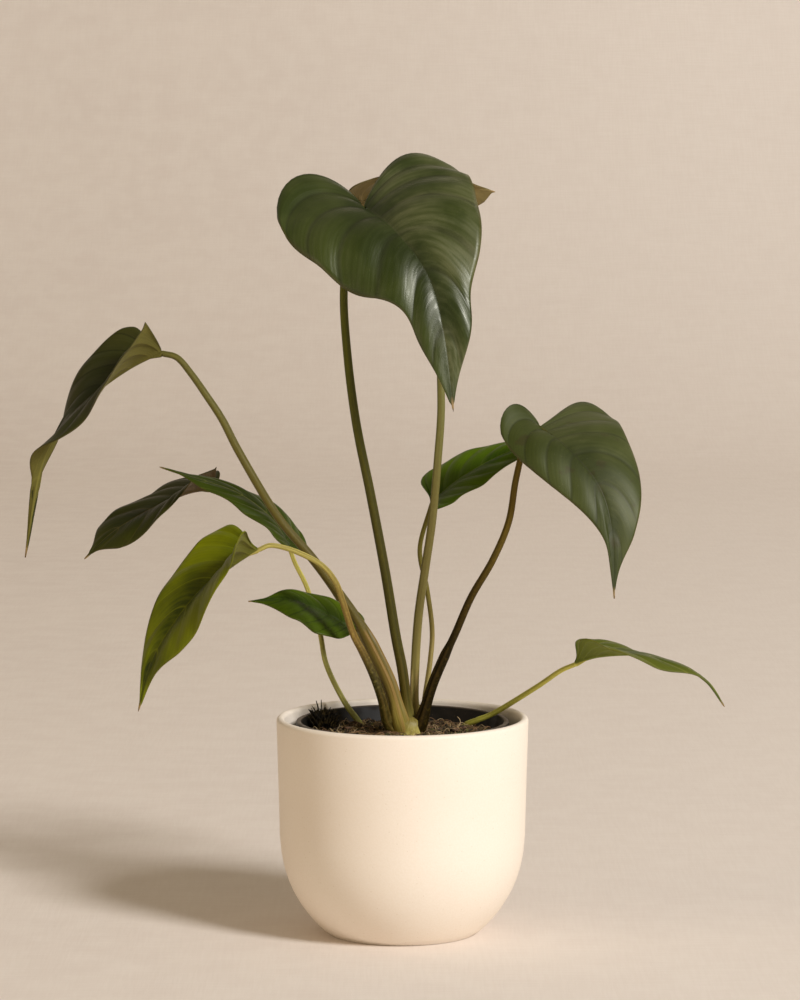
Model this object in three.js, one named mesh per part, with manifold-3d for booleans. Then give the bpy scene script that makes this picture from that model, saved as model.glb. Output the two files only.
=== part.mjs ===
// A potted homalomena: ten heart-shaped leaves on long stalks, rising from one short crown,
// in a plastic nursery pot that stands inside a smooth round ceramic pot.
// Millimetres, +Z up, origin at the centre of the ceramic pot's flat base. The front is -Y.

import * as THREE from "three";
import { mergeVertices } from "three/addons/utils/BufferGeometryUtils.js";
import Module from "manifold-3d";

const wasm = await Module();
wasm.setup();

// Driving dimensions of the ceramic pot
const POT_HEIGHT = 124;
const POT_RIM_RADIUS = 71.7;
const POT_BELLY_RADIUS = 70.2;
const POT_BELLY_HEIGHT = 70; // below it the side curves in to the foot
const POT_FOOT_RADIUS = 43;
const POT_CURVE = 2.9; // how late the side turns in towards the foot
const POT_WALL = 4.5;
const POT_FLOOR = 7;
const POT_SIDES = 56;

// Driving dimensions of the nursery pot and the soil in it
const SEAT_GAP = 0.3; // between pieces that touch
const NURSERY_TOP = 121.7;
const NURSERY_TOP_RADIUS = 59;
const NURSERY_LIP = 2; // the rolled lip stands this far out
const NURSERY_LIP_HEIGHT = 3;
const NURSERY_FOOT_RADIUS = 40;
const NURSERY_WALL = 1.2;
const NURSERY_SIDES = 48;
const DRAIN_HOLES = 6;
const DRAIN_RADIUS = 4;
const DRAIN_RING = 30;
const SOIL_EDGE = 113; // surface height at the nursery pot's wall
const SOIL_MIDDLE = 114.5; // surface height round the crown

// Driving dimensions of the crown, the short stem that the stalks grow from
const CROWN_CENTRE = [2.8, 2.5];
const CROWN_HALF_WIDTH = 10.5;
const CROWN_HALF_DEPTH = 8.5;
const CROWN_BOTTOM = 98;
const CROWN_TOP = 120;
const CROWN_SHOULDER = 114; // above it the crown rounds off

// Driving dimensions that all leaves share
const BLADE_THICKNESS = 0.8;
const MIDRIB_DEPTH = 1.1; // how far the midrib stands below the blade at the stalk
const SIDE_VEINS = 7; // on each half of a blade
const HORN_REACH = 0.04; // share of the margin over which a lobe's point fades
const COLUMNS = [0, 0.07, 0.3, 0.55, 0.8, 1]; // shares of the way from the midrib to the margin
const STALK_SIDES = 8;
const STALK_DEPTH_SHARE = 0.88; // a stalk is a little thinner than it is wide

// One half of a blade, in shares of the midrib's length, and in degrees for its folds. The lobe is the part
// behind the stalk: back and round set how its edge leaves the stalk and comes in to the margin, and lobeCurl
// how far it turns up. fold lifts the half from the midrib and curl bends it on to the margin, each at even
// steps from base to tip. pinch draws the margin in: where along the leaf, over what reach, by what share.
// horn draws the lobe's corner out to a point: how far sideways.
const HALF = {
  width: 0.34, lobe: 0.2, lobeCurl: 20, gap: 0.1, back: 0.75, round: 1, shoulder: 0.88, belly: 0.55, waist: 0.7,
  pinch: [0.7, 0.1, 0], horn: 0, fold: [12, 8, 5], curl: [-20, -20, -10],
};
const half = (own) => ({ ...HALF, ...own });

// The ten leaves. stalk is the route from the crown or the soil to the blade, girth its half-width at shares
// of that route. midrib runs from the stalk to the tip, and faces is where the upper side looks along it.
const LEAVES = [
  {
    stalk: [[4, 2.5, 115.5], [3.2, 2.5, 124], [0, 1.5, 150], [-4, 1, 171], [-10, 0, 208], [-18, -2, 251],
      [-26, -2, 291], [-31, -2, 330], [-33, -2, 367], [-29, -1, 398], [-22, 0, 413]],
    girth: [[0, 2.9], [0.2, 3], [0.6, 2.5], [1, 2]],
    midrib: [[-22, 0, 413], [-5, -26, 402], [14, -44, 377], [23, -54, 345], [28, -60, 303]],
    faces: [[-0.05, -0.35, 0.93], [0.05, -0.8, 0.6], [0.1, -0.93, 0.3], [0.1, -0.97, 0.2]],
    left: half({ width: 0.37, lobe: 0.28, lobeCurl: 20, gap: -0.25, back: 0.95, shoulder: 0.86, belly: 0.46,
      waist: 0.6, fold: [12, 5, 0], curl: [-37, -50, -20], pinch: [0.62, 0.13, 0.3] }),
    right: half({ width: 0.41, lobe: 0.11, lobeCurl: 10, gap: 0.45, back: 1.1, shoulder: 1.05, belly: 0.28,
      waist: 0.6, fold: [32, 17, 0], curl: [-47, -46, 0], pinch: [0.58, 0.12, 0.3] }),
    taper: [0.6, 1, 0.3], wave: [1.6, 3.5, 0.1], quilt: 1.3, rows: 28,
  },
  {
    stalk: [[7, 7, 115.5], [6.8, 8, 125], [7, 10.5, 146], [9, 10, 179], [13, 9, 208], [17, 9, 236],
      [20, 11, 269], [22, 17, 303], [19, 27, 342], [5, 37, 382], [-19, 44, 416]],
    girth: [[0, 2.6], [0.3, 2.5], [1, 2]],
    midrib: [[-19, 44, 416], [7, 60, 423], [33, 74, 423], [54, 84, 419]],
    faces: [[0.05, 0.65, 0.75], [0.1, 0.7, 0.7], [0.2, 0.85, 0.4]],
    left: half({ width: 0.3, lobe: 0.18, belly: 0.2, fold: [5, -8, -20] }),
    right: half({ width: 0.36, lobe: 0.3, back: 1.1, gap: 0.1, belly: 1.7, waist: 0.85, fold: [0, 0, 0] }),
    taper: [0.6, 1, 0.2], wave: [1, 3, 0.3], quilt: 0.8, rows: 14,
  },
  {
    stalk: [[0, -1.5, 116], [-1.8, -2.8, 124], [-7, -1, 142], [-16, 1, 161], [-25, 3, 178], [-33, 4, 190],
      [-51, 4, 214], [-71, 5, 238], [-92, 8, 273], [-102, 11, 292], [-111, 14, 305.5], [-120, 17, 318],
      [-128, 19, 327], [-137, 20, 331]],
    girth: [[0, 3.2], [0.16, 4.2], [0.25, 4.2], [0.31, 2.8], [1, 1.7]],
    midrib: [[-137, 20, 331], [-156, 20, 321], [-175, 20, 307], [-195, 20, 287], [-207, 22, 262],
      [-216, 25, 212]],
    faces: [[-0.1, -0.05, 1], [-0.3, -0.3, 0.8], [-0.7, 0.15, 0.6], [-0.75, 0.65, 0.2], [-0.5, 0.85, 0]],
    left: half({ width: 0.165, lobe: -0.18, lobeCurl: 0, back: 0.3, round: 0.6, shoulder: 1, belly: 0.28,
      fold: [50, 32, 12, 10, 0], curl: [-10, -10, 0] }),
    right: half({ width: 0.21, lobe: 0.02, lobeCurl: 0, back: 0.3, round: 0, shoulder: 0.6, belly: 0.2, horn: 0.06,
      fold: [55, 25, -15, 60, 90], curl: [-20, -20, 0] }),
    taper: [0.5, 0.8, 0.9], wave: [1.2, 3, 0], quilt: 0.9, rows: 21,
  },
  {
    stalk: [[-23, 38, 100], [-23, 37, 111], [-34, 40, 127], [-44, 46, 147], [-48, 51, 166], [-55, 54, 190],
      [-62, 53, 205], [-65, 51, 215]],
    girth: [[0, 2.1], [0.3, 1.6], [1, 1.2]],
    midrib: [[-65, 51, 215], [-76, 52, 232], [-95, 54, 246], [-118, 56, 254], [-141, 58, 261]],
    faces: [[0.4, -0.25, 0.87], [0.1, -0.25, 0.97], [0, -0.25, 0.97]],
    left: half({ width: 0.2, lobe: 0.04, lobeCurl: 0, back: 0.4, round: 0.7, fold: [20, 0, 0] }),
    right: half({ width: 0.19, lobe: -0.1, lobeCurl: 0, back: 0.3, round: 0.4, shoulder: 0.7,
      fold: [20, -5, 0] }),
    taper: [0.6, 1, 0.6], wave: [0.8, 3, 0.2], quilt: 0.6, rows: 14,
  },
  {
    stalk: [[-1, 5, 116], [-3, 8, 124], [-14, 26, 150], [-29, 46, 172], [-41, 58, 190], [-56, 72, 208],
      [-72, 84, 223], [-93, 95, 238], [-112, 96, 245]],
    girth: [[0, 2], [0.4, 1.6], [1, 1.3]],
    midrib: [[-112, 96, 245], [-128, 92, 242], [-150, 86, 232], [-170, 80, 220], [-186, 76, 205]],
    faces: [[0, -0.1, 0.99], [-0.2, -0.4, 0.9], [-0.4, -0.7, 0.7]],
    left: half({ width: 0.29, lobe: 0.05, lobeCurl: 40, belly: 0.95, waist: 0.75, fold: [15, 0, 0] }),
    right: half({ width: 0.25, lobe: 0.06, lobeCurl: 0, back: 0.3, round: 0, shoulder: 0.62, belly: 1.15,
      waist: 0.78, horn: 0.07, fold: [56, 14, -10] }),
    taper: [0.78, 0.95, 0.8], wave: [1.2, 3, 0.4], quilt: 0.9, rows: 14,
  },
  {
    stalk: [[-3, 3, 116], [-6, 5, 123], [-12, 13, 140], [-18, 20, 154], [-24, 28, 164], [-28, 32, 169]],
    girth: [[0, 1.6], [1, 1.2]],
    midrib: [[-28, 32, 169], [-46, 28, 180], [-64, 22, 188], [-88, 15, 188]],
    faces: [[0.1, -0.5, 0.86], [0.05, -0.5, 0.9]],
    left: half({ width: 0.24, lobe: 0, lobeCurl: 0, back: 0.4, shoulder: 1.02, belly: 0.6, waist: 0.6 }),
    right: half({ width: 0.27, lobe: -0.15, lobeCurl: 0, back: 0.3, shoulder: 0.55, belly: 1.6, waist: 0.7,
      fold: [8, 8, 5] }),
    taper: [0.65, 0.95, 0.6], wave: [0.6, 3, 0.1], quilt: 0.6, rows: 14,
  },
  {
    stalk: [[-5, -2, 116], [-8.7, -4, 122], [-12, -7, 136], [-17, -8, 150], [-23, -9, 163], [-28, -10, 173],
      [-34, -12, 192], [-38, -14, 203], [-46, -17, 213], [-60, -22, 221], [-73, -27, 225], [-81, -30, 224]],
    girth: [[0, 2], [0.15, 2.6], [0.5, 1.9], [1, 1.3]],
    midrib: [[-81, -30, 224], [-95, -34, 215], [-113, -40, 201], [-131, -46, 178], [-141, -50, 159],
      [-147, -54, 135]],
    faces: [[-0.4, -0.1, 0.9], [-0.6, -0.4, 0.7], [-0.8, -0.6, 0.35], [-0.85, -0.7, 0.2]],
    left: half({ width: 0.26, lobe: -0.1, lobeCurl: 0, back: 0.3, round: 0.6, shoulder: 0.98, belly: 0.45,
      fold: [38, 17, 0] }),
    right: half({ width: 0.33, lobe: -0.13, lobeCurl: 0, back: 0.3, round: 0.3, belly: 0.65,
      fold: [46, 16, -5] }),
    taper: [0.65, 0.95, 0.7], wave: [1.2, 3, 0.6], quilt: 0.9, rows: 21,
  },
  {
    stalk: [[11, 6, 116], [12, 9.5, 125], [13, 13, 134], [16, 20, 154], [17, 25, 171], [14, 29, 194],
      [10, 34, 216], [16, 36, 242]],
    girth: [[0, 1.7], [0.3, 1.5], [1, 1.3]],
    midrib: [[16, 36, 242], [33, 40, 256], [59, 44, 270], [88, 50, 279]],
    faces: [[-0.6, -0.4, 0.7], [-0.2, -0.4, 0.9]],
    left: half({ width: 0.3, lobe: -0.05, lobeCurl: 0, back: 0.4, round: 0.8, fold: [20, 8, 0] }),
    right: half({ width: 0.32, lobe: -0.2, lobeCurl: 0, back: 0.3, round: 0.5, shoulder: 0.8,
      fold: [18, 8, 0] }),
    taper: [0.6, 1, 0.6], wave: [0.8, 3, 0.5], quilt: 0.8, rows: 14,
  },
  {
    stalk: [[8.5, 0, 116], [11, -0.5, 122], [17, -1, 142], [24, -2, 159], [30, -3, 172], [39, -4, 193],
      [51, -5, 214], [60, -6, 236], [64, -6, 260], [69, -5, 279], [77, 0, 289]],
    girth: [[0, 3], [0.3, 2.9], [0.36, 2.2], [1, 1.7]],
    midrib: [[77, 0, 289], [92, -16, 279], [110, -30, 258], [117, -38, 232], [118, -43, 197]],
    faces: [[0.3, -0.5, 0.8], [0.35, -0.86, 0.4], [0.3, -0.93, 0.2], [0.2, -0.97, 0.1]],
    left: half({ width: 0.245, lobe: 0.13, lobeCurl: 40, gap: -0.5, back: 0.8, shoulder: 0.8, belly: 0.5,
      waist: 0.6,
      fold: [10, 10, 0], curl: [-70, -70, -20], pinch: [0.76, 0.15, 0.5] }),
    right: half({ width: 0.355, lobe: 0.06, lobeCurl: 0, gap: 0.55, back: 0.7, shoulder: 1.2, belly: 0.27,
      waist: 0.62,
      fold: [6, 14, 0], curl: [-9, -50, 0] }),
    taper: [0.7, 0.95, 0.5], wave: [0.8, 2.5, 0.2], quilt: 1, rows: 28,
  },
  {
    stalk: [[33, 29, 100], [35, 28, 113], [43, 24, 118], [53, 20, 123], [76, 4, 140], [89, -8, 151],
      [97, -14, 157]],
    girth: [[0, 1.9], [1, 1.3]],
    midrib: [[97, -14, 157], [112, -14, 161], [135, -18, 162], [156, -22, 157], [171, -26, 148],
      [181, -31, 134]],
    faces: [[-0.3, 0.1, 0.95], [0.1, -0.05, 0.99], [0.3, -0.15, 0.95], [0.5, -0.15, 0.85]],
    left: half({ width: 0.22, lobe: -0.17, lobeCurl: 0, back: 0.3, round: 0.3, shoulder: 0.8,
      fold: [60, 0, -5] }),
    right: half({ width: 0.22, lobe: -0.17, lobeCurl: 0, back: 0.3, round: 0.5, shoulder: 0.85,
      fold: [52, -12, -5] }),
    taper: [0.6, 0.88, 0.85], wave: [0.8, 3, 0], quilt: 0.6, rows: 14,
  },
];

const LEAF_GREENS = ["#24391d", "#4a4a30", "#3a4424", "#3c5c22", "#3a3f26", "#3c5c26", "#5c6b1e", "#3f6320",
  "#3a4a34", "#4f6a34"];
const STALK_GREENS = ["#3d3f16", "#6b6640", "#6d6a36", "#a8a35c", "#6b5a40", "#6d6a36", "#b0964e", "#8d8a4a",
  "#3a2c1a", "#8f8f3c"];

const material = (colour, roughness) =>
  new THREE.MeshStandardMaterial({ color: colour, roughness, metalness: 0, side: THREE.DoubleSide });

const radians = (degrees) => (degrees * Math.PI) / 180;
const clamp01 = (x) => Math.min(Math.max(x, 0), 1);
const smooth = (x) => clamp01(x) ** 2 * (3 - 2 * clamp01(x));
const vectors = (points) => points.map((p) => new THREE.Vector3(...p));

// A smooth course through values at even steps from 0 to 1, as a Catmull-Rom curve runs
function evenSteps(values, y) {
  const last = values.length - 1;
  const at = clamp01(y) * last;
  const i = Math.min(Math.floor(at), last - 1);
  const f = at - i;
  const before = i > 0 ? values[i - 1] : 2 * values[0] - values[1];
  const after = i < last - 1 ? values[i + 2] : 2 * values[last] - values[last - 1];
  const [from, to] = [values[i], values[i + 1]];
  const slope = to - before;
  const bow = 2 * before - 5 * from + 4 * to - after;
  return from + 0.5 * f * (slope + f * (bow + f * (3 * (from - to) + after - before)));
}

// A straight course between stops, each a share and a value
function betweenStops(stops, share) {
  const next = stops.findIndex(([at]) => at >= share);
  if (next <= 0) return stops[0][1];
  const [fromShare, fromValue] = stops[next - 1];
  const [toShare, toValue] = stops[next];
  return THREE.MathUtils.mapLinear(share, fromShare, toShare, fromValue, toValue);
}

function bezier(points, s) {
  const r = 1 - s;
  const weights = [r ** 3, 3 * r * r * s, 3 * r * s * s, s ** 3];
  return [0, 1].map((axis) => points.reduce((sum, point, i) => sum + weights[i] * point[axis], 0));
}

// A closed mesh from its corners and faces
function solid(corners, faces) {
  const geometry = new THREE.BufferGeometry();
  geometry.setAttribute("position", new THREE.Float32BufferAttribute(corners.flat(), 3));
  geometry.setIndex(faces.flat());
  return geometry;
}

// The solid with its shared corners merged, as manifold-3d wants it
function toManifold(geometry) {
  const plain = geometry.clone();
  plain.deleteAttribute("normal");
  plain.deleteAttribute("uv");
  const merged = mergeVertices(plain, 1e-4);
  return new wasm.Manifold(new wasm.Mesh({
    numProp: 3,
    vertProperties: new Float32Array(merged.attributes.position.array),
    triVerts: new Uint32Array(merged.index.array),
  }));
}

function fromManifold(result) {
  const mesh = result.getMesh();
  const geometry = new THREE.BufferGeometry();
  geometry.setAttribute("position", new THREE.BufferAttribute(new Float32Array(mesh.vertProperties), 3));
  geometry.setIndex(new THREE.BufferAttribute(new Uint32Array(mesh.triVerts), 1));
  return geometry;
}

// What is left of the solid once the tools are taken away, without the crumbs that a cut leaves behind
function cutAway(geometry, tools) {
  const rest = tools.reduce((left, tool) => left.subtract(toManifold(tool)), toManifold(geometry));
  return fromManifold(rest.decompose().reduce((most, body) => (body.volume() > most.volume() ? body : most)));
}

// A turned piece: the profile is [radius, height] from the axis at the bottom round to the axis again
function turned(profile, sides) {
  const lathe = new THREE.LatheGeometry(profile.map(([r, z]) => new THREE.Vector2(r, z)), sides);
  return lathe.rotateX(Math.PI / 2);
}

// Ceramic pot

function potRadius(z) {
  if (z > POT_BELLY_HEIGHT) {
    return THREE.MathUtils.mapLinear(z, POT_BELLY_HEIGHT, POT_HEIGHT, POT_BELLY_RADIUS, POT_RIM_RADIUS);
  }
  return POT_BELLY_RADIUS - (POT_BELLY_RADIUS - POT_FOOT_RADIUS) * (1 - z / POT_BELLY_HEIGHT) ** POT_CURVE;
}

function ceramicPot() {
  const lip = POT_WALL / 2;
  const lipHeight = POT_HEIGHT - lip;
  const outside = [0, 2.5, 7, 13, 20, 28, 38, 52, 70, lipHeight].map((z) => [potRadius(z), z]);
  const rim = [30, 60, 90, 120, 150].map((angle) => [
    potRadius(lipHeight) - lip + lip * Math.cos(radians(angle)),
    lipHeight + lip * Math.sin(radians(angle)),
  ]);
  const wallAt = (z) => POT_WALL * (1 + 0.8 * (1 - clamp01((z - POT_FLOOR) / 40)) ** 2);
  const inside = [lipHeight, 60, 40, 28, 18, 11].map((z) => [potRadius(z) - wallAt(z), z]);
  const corner = [potRadius(POT_FLOOR) - wallAt(POT_FLOOR) - 1, POT_FLOOR];
  return turned([[0, 0], ...outside, ...rim, ...inside, corner, [0, POT_FLOOR]], POT_SIDES);
}

// Nursery pot and soil

const nurseryFoot = POT_FLOOR + SEAT_GAP;
const nurseryRadius = (z) =>
  THREE.MathUtils.mapLinear(z, nurseryFoot, NURSERY_TOP, NURSERY_FOOT_RADIUS, NURSERY_TOP_RADIUS);

function nurseryPot() {
  const under = NURSERY_TOP - NURSERY_LIP_HEIGHT;
  const cup = turned([
    [0, nurseryFoot],
    [NURSERY_FOOT_RADIUS, nurseryFoot],
    [nurseryRadius(under), under],
    [nurseryRadius(under) + NURSERY_LIP, under + 0.6],
    [nurseryRadius(under) + NURSERY_LIP, NURSERY_TOP - 0.6],
    [nurseryRadius(under) + NURSERY_LIP - 0.6, NURSERY_TOP],
    [nurseryRadius(NURSERY_TOP) - NURSERY_WALL, NURSERY_TOP],
    [NURSERY_FOOT_RADIUS - NURSERY_WALL, nurseryFoot + NURSERY_WALL],
    [0, nurseryFoot + NURSERY_WALL],
  ], NURSERY_SIDES);
  const holes = Array.from({ length: DRAIN_HOLES }, (_, i) => {
    const angle = (2 * Math.PI * i) / DRAIN_HOLES;
    const hole = new THREE.CylinderGeometry(DRAIN_RADIUS, DRAIN_RADIUS, 4 * NURSERY_WALL, 12);
    hole.rotateX(Math.PI / 2);
    return hole.translate(DRAIN_RING * Math.cos(angle), DRAIN_RING * Math.sin(angle), nurseryFoot);
  });
  return cutAway(cup, holes);
}

function soilBody() {
  const bottom = nurseryFoot + NURSERY_WALL + SEAT_GAP;
  const clear = NURSERY_WALL + SEAT_GAP;
  return turned([
    [0, bottom],
    [nurseryRadius(bottom) - clear, bottom],
    [nurseryRadius(SOIL_EDGE) - clear, SOIL_EDGE],
    [50, SOIL_EDGE + 0.8],
    [36, SOIL_MIDDLE - 0.8],
    [18, SOIL_MIDDLE],
    [0, SOIL_MIDDLE],
  ], NURSERY_SIDES);
}

// Crown: an oval knob, wider across than deep, with a rounded top. grow makes it that much larger all round.
function crownBody(grow = 0) {
  const steps = 5;
  const dome = Array.from({ length: steps + 1 }, (_, i) => {
    const angle = radians((90 * i) / steps);
    return [Math.cos(angle), CROWN_SHOULDER + (CROWN_TOP + grow - CROWN_SHOULDER) * Math.sin(angle)];
  });
  dome[steps][0] = 0;
  const profile = [[0, CROWN_BOTTOM - grow], [0.8, CROWN_BOTTOM - grow], [1, CROWN_BOTTOM + 6], ...dome];
  const knob = turned(profile, 20);
  knob.scale(CROWN_HALF_WIDTH + grow, CROWN_HALF_DEPTH + grow, 1);
  return knob.translate(...CROWN_CENTRE, 0);
}

// Stalks

// A closed tube of oval section along a smooth route, its broad side across the front view
function stalkBody(route, girth, grow = 0) {
  const curve = new THREE.CatmullRomCurve3(vectors(route), false, "catmullrom", 0.5);
  const steps = 2 * (route.length - 1);
  const corners = [];
  for (let i = 0; i <= steps; i += 1) {
    const share = i / steps;
    const centre = curve.getPoint(share);
    const along = curve.getTangent(share);
    const across = new THREE.Vector3().crossVectors(along, new THREE.Vector3(0, 1, 0)).normalize();
    const deep = new THREE.Vector3().crossVectors(across, along);
    const width = betweenStops(girth, share) + grow;
    for (let k = 0; k < STALK_SIDES; k += 1) {
      const angle = (2 * Math.PI * (k + 0.5)) / STALK_SIDES;
      const corner = centre.clone().addScaledVector(across, width * Math.cos(angle));
      corners.push(corner.addScaledVector(deep, width * STALK_DEPTH_SHARE * Math.sin(angle)).toArray());
    }
  }
  const ring = (i, k) => i * STALK_SIDES + (k % STALK_SIDES);
  const faces = [];
  for (let k = 0; k < STALK_SIDES; k += 1) {
    for (let i = 0; i < steps; i += 1) {
      const [here, next] = [ring(i, k + 1), ring(i + 1, k)];
      faces.push([ring(i, k), next, here], [here, next, ring(i + 1, k + 1)]);
    }
    if (k > 1) {
      faces.push([ring(0, 0), ring(0, k - 1), ring(0, k)]);
      faces.push([ring(steps, 0), ring(steps, k), ring(steps, k - 1)]);
    }
  }
  return solid(corners, faces);
}

// Blades

// Where vein t of a half (0 the lobe's edge, 1 the tip) is at share s of its way out, on the flattened leaf:
// [across, along], both in midrib lengths
function flatPoint(side, taper, t, s) {
  const { width: w, lobe: b, gap, back, round, shoulder, belly, waist, pinch, horn } = side;
  const lobeEnd = [shoulder * w, -0.4 * b];
  const widest = [1.22 * w, 0.16];
  const edge = bezier([lobeEnd, widest, [belly * w, waist], [0, 1]], t);
  edge[0] *= 1 - taper[2] * smooth((edge[1] - taper[0]) / (taper[1] - taper[0]));
  edge[0] *= 1 - pinch[2] * Math.exp(-(((edge[1] - pinch[0]) / pinch[1]) ** 2));
  edge[0] += horn * Math.exp(-t / HORN_REACH);
  const root = [0, t ** 1.7];
  const length = Math.hypot(edge[0] - root[0], edge[1] - root[1]);
  const lobeLength = Math.hypot(...lobeEnd);
  const towardsTip = 1 - (1 - t) ** 2.2;
  const handle = (atLobe, atTip) =>
    atLobe.map((v, axis) => length * THREE.MathUtils.lerp(v / lobeLength, atTip[axis], towardsTip));
  const leave = handle([gap * w, -back * b], [0.3, 0.1]);
  const arrive = handle([(lobeEnd[0] - widest[0]) * round, (lobeEnd[1] - widest[1]) * round], [-0.08, -0.32]);
  const [nearRoot, nearEdge] = [[root, leave], [edge, arrive]].map(([end, by]) => [end[0] + by[0], end[1] + by[1]]);
  return bezier([root, nearRoot, nearEdge, edge], s);
}

// The midrib as a course of points and directions, measured by its length
function midribCourse(leaf) {
  const curve = new THREE.CatmullRomCurve3(vectors(leaf.midrib), false, "catmullrom", 0.5);
  curve.arcLengthDivisions = 80;
  const looks = vectors(leaf.faces).map((v) => v.normalize());
  const faces = new THREE.CatmullRomCurve3(looks, false, "catmullrom", 0.5);
  const at = (y) => {
    const along = clamp01(y);
    const centre = curve.getPointAt(along);
    const tangent = curve.getTangentAt(along);
    const up = faces.getPoint(along);
    up.addScaledVector(tangent, -up.dot(tangent)).normalize();
    return { centre, tangent, up, across: new THREE.Vector3().crossVectors(tangent, up) };
  };
  return { length: curve.getLength(), at };
}

function bladePoint(leaf, course, isLeft, t, s) {
  const side = isLeft ? leaf.left : leaf.right;
  const { length } = course;
  const [flatX, y] = flatPoint(side, leaf.taper, t, s);
  const x = flatX * length;
  const { centre, tangent, up, across } = course.at(y);
  const behind = Math.max(-y, 0) * length;
  const lobeRate = radians(side.lobeCurl || 0.01) / ((0.63 * Math.max(side.lobe, 0) + 0.06) * length);
  const fold = radians(evenSteps(side.fold, y));
  const reach = Math.max(leaf.left.width, leaf.right.width) * length;
  const bend = radians(evenSteps(side.curl, y) || 0.01) / reach;
  const out = (Math.sin(fold + bend * x) - Math.sin(fold)) / bend;
  let lift = (Math.cos(fold) - Math.cos(fold + bend * x)) / bend;
  const [waveHeight, waveCount, wavePhase] = leaf.wave;
  const turn = 2 * Math.PI * (waveCount * t + wavePhase + (isLeft ? 0 : 0.35));
  lift += waveHeight * s * s * Math.sin(turn) * Math.sqrt(Math.sin(Math.PI * t));
  const swell = Math.sin(Math.PI * SIDE_VEINS * t) ** 2 * smooth(4 * (1 - t));
  lift += leaf.quilt * swell * (3.6 * s * (1 - s) + 0.2 * s);
  return centre
    .addScaledVector(tangent, -Math.sin(lobeRate * behind) / lobeRate)
    .addScaledVector(up, (1 - Math.cos(lobeRate * behind)) / lobeRate + lift)
    .addScaledVector(across, (isLeft ? 1 : -1) * out);
}

// A closed thin body: the same triangles above and below the blade's middle surface, joined round the margin.
// grow makes it that much thicker on both sides.
function bladeBody(leaf, grow = 0) {
  const course = midribCourse(leaf);
  const { rows } = leaf;
  const middle = [];
  const depth = []; // half the thickness below the middle surface
  const index = { true: [], false: [] };
  const place = (point, below) => middle.push(point) - 1 + 0 * depth.push(below);
  for (let i = 0; i <= rows; i += 1) {
    const t = i / rows;
    const rib = BLADE_THICKNESS / 2 + MIDRIB_DEPTH * Math.sqrt(1 - t);
    const onMidrib = place(bladePoint(leaf, course, true, t, 0), rib);
    for (const isLeft of [true, false]) {
      const outward = COLUMNS.slice(1).map((s) =>
        (i < rows ? place(bladePoint(leaf, course, isLeft, t, s), BLADE_THICKNESS / 2) : onMidrib));
      index[isLeft].push([onMidrib, ...outward]);
    }
  }
  const upper = [];
  for (const isLeft of [true, false]) {
    for (let i = 0; i < rows; i += 1) {
      for (let j = 0; j + 1 < COLUMNS.length; j += 1) {
        const [a, b] = [index[isLeft][i][j], index[isLeft][i][j + 1]];
        const [c, d] = [index[isLeft][i + 1][j + 1], index[isLeft][i + 1][j]];
        const quad = c === d ? [[a, b, c]] : [[a, b, c], [a, c, d]];
        upper.push(...quad.map((tri) => (isLeft ? tri : [tri[0], tri[2], tri[1]])));
      }
    }
  }
  const normals = middle.map(() => new THREE.Vector3());
  for (const tri of upper) {
    const [a, b, c] = tri.map((k) => middle[k]);
    const area = new THREE.Vector3().crossVectors(b.clone().sub(a), c.clone().sub(a));
    tri.forEach((k) => normals[k].add(area));
  }
  normals.forEach((n) => n.normalize());
  const raise = (k, by) => middle[k].clone().addScaledVector(normals[k], by).toArray();
  const count = middle.length;
  const corners = [
    ...middle.map((_, k) => raise(k, BLADE_THICKNESS / 2 + grow)),
    ...middle.map((_, k) => raise(k, -depth[k] - grow)),
  ];
  const lower = upper.map(([a, b, c]) => [c + count, b + count, a + count]);
  const edges = new Set(upper.flatMap(([a, b, c]) => [`${a},${b}`, `${b},${c}`, `${c},${a}`]));
  const pairs = [...edges].map((edge) => edge.split(",").map(Number));
  const margin = pairs.filter(([a, b]) => !edges.has(`${b},${a}`));
  const rim = margin.flatMap(([a, b]) => [[b, a, a + count], [b, a + count, b + count]]);
  return solid(corners, [...upper, ...lower, ...rim]);
}

// The stalk's route with its last point drawn back, so that the end's highest corner is in the blade
function stalkRoute(leaf) {
  const course = midribCourse(leaf);
  const { up } = course.at(0);
  const route = leaf.stalk.map((p) => [...p]);
  const [before, last] = vectors(route.slice(-2));
  const along = last.clone().sub(before).normalize();
  const tipRadius = leaf.girth.at(-1)[1];
  const slant = Math.sqrt(1 - along.dot(up) ** 2);
  route[route.length - 1] = last.addScaledVector(up, -tipRadius * slant).toArray();
  return route;
}

const plant = new THREE.Group();

function add(name, geometry, colour, roughness) {
  const mesh = new THREE.Mesh(geometry, material(colour, roughness));
  mesh.name = name;
  plant.add(mesh);
}

const inSoil = (leaf) => leaf.stalk[0][2] < CROWN_BOTTOM + 5;
const soilHoles = LEAVES.filter(inSoil).map(({ stalk: [[x, y, z], ...rest], girth }) =>
  stalkBody([[x, y, z - SEAT_GAP], ...rest], girth, SEAT_GAP));

add("ceramic_pot", ceramicPot(), "#eadfc9", 0.7);
add("nursery_pot", nurseryPot(), "#1d1b1a", 0.45);
add("soil", cutAway(soilBody(), [crownBody(SEAT_GAP), ...soilHoles]), "#33261d", 0.95);
add("crown", crownBody(), "#a9a65c", 0.5);

LEAVES.forEach((leaf, i) => {
  const number = String(i + 1).padStart(2, "0");
  const { tangent } = midribCourse(leaf).at(0);
  const bladeRoom = bladeBody(leaf, SEAT_GAP);
  const edgeRoom = bladeRoom.clone().translate(...tangent.multiplyScalar(-SEAT_GAP).toArray());
  const neighbours = [bladeRoom, edgeRoom, ...(inSoil(leaf) ? [] : [crownBody(SEAT_GAP)])];
  add(`petiole_${number}`, cutAway(stalkBody(stalkRoute(leaf), leaf.girth), neighbours), STALK_GREENS[i], 0.5);
  add(`blade_${number}`, bladeBody(leaf), LEAF_GREENS[i], 0.45);
});

export default plant;
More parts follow.
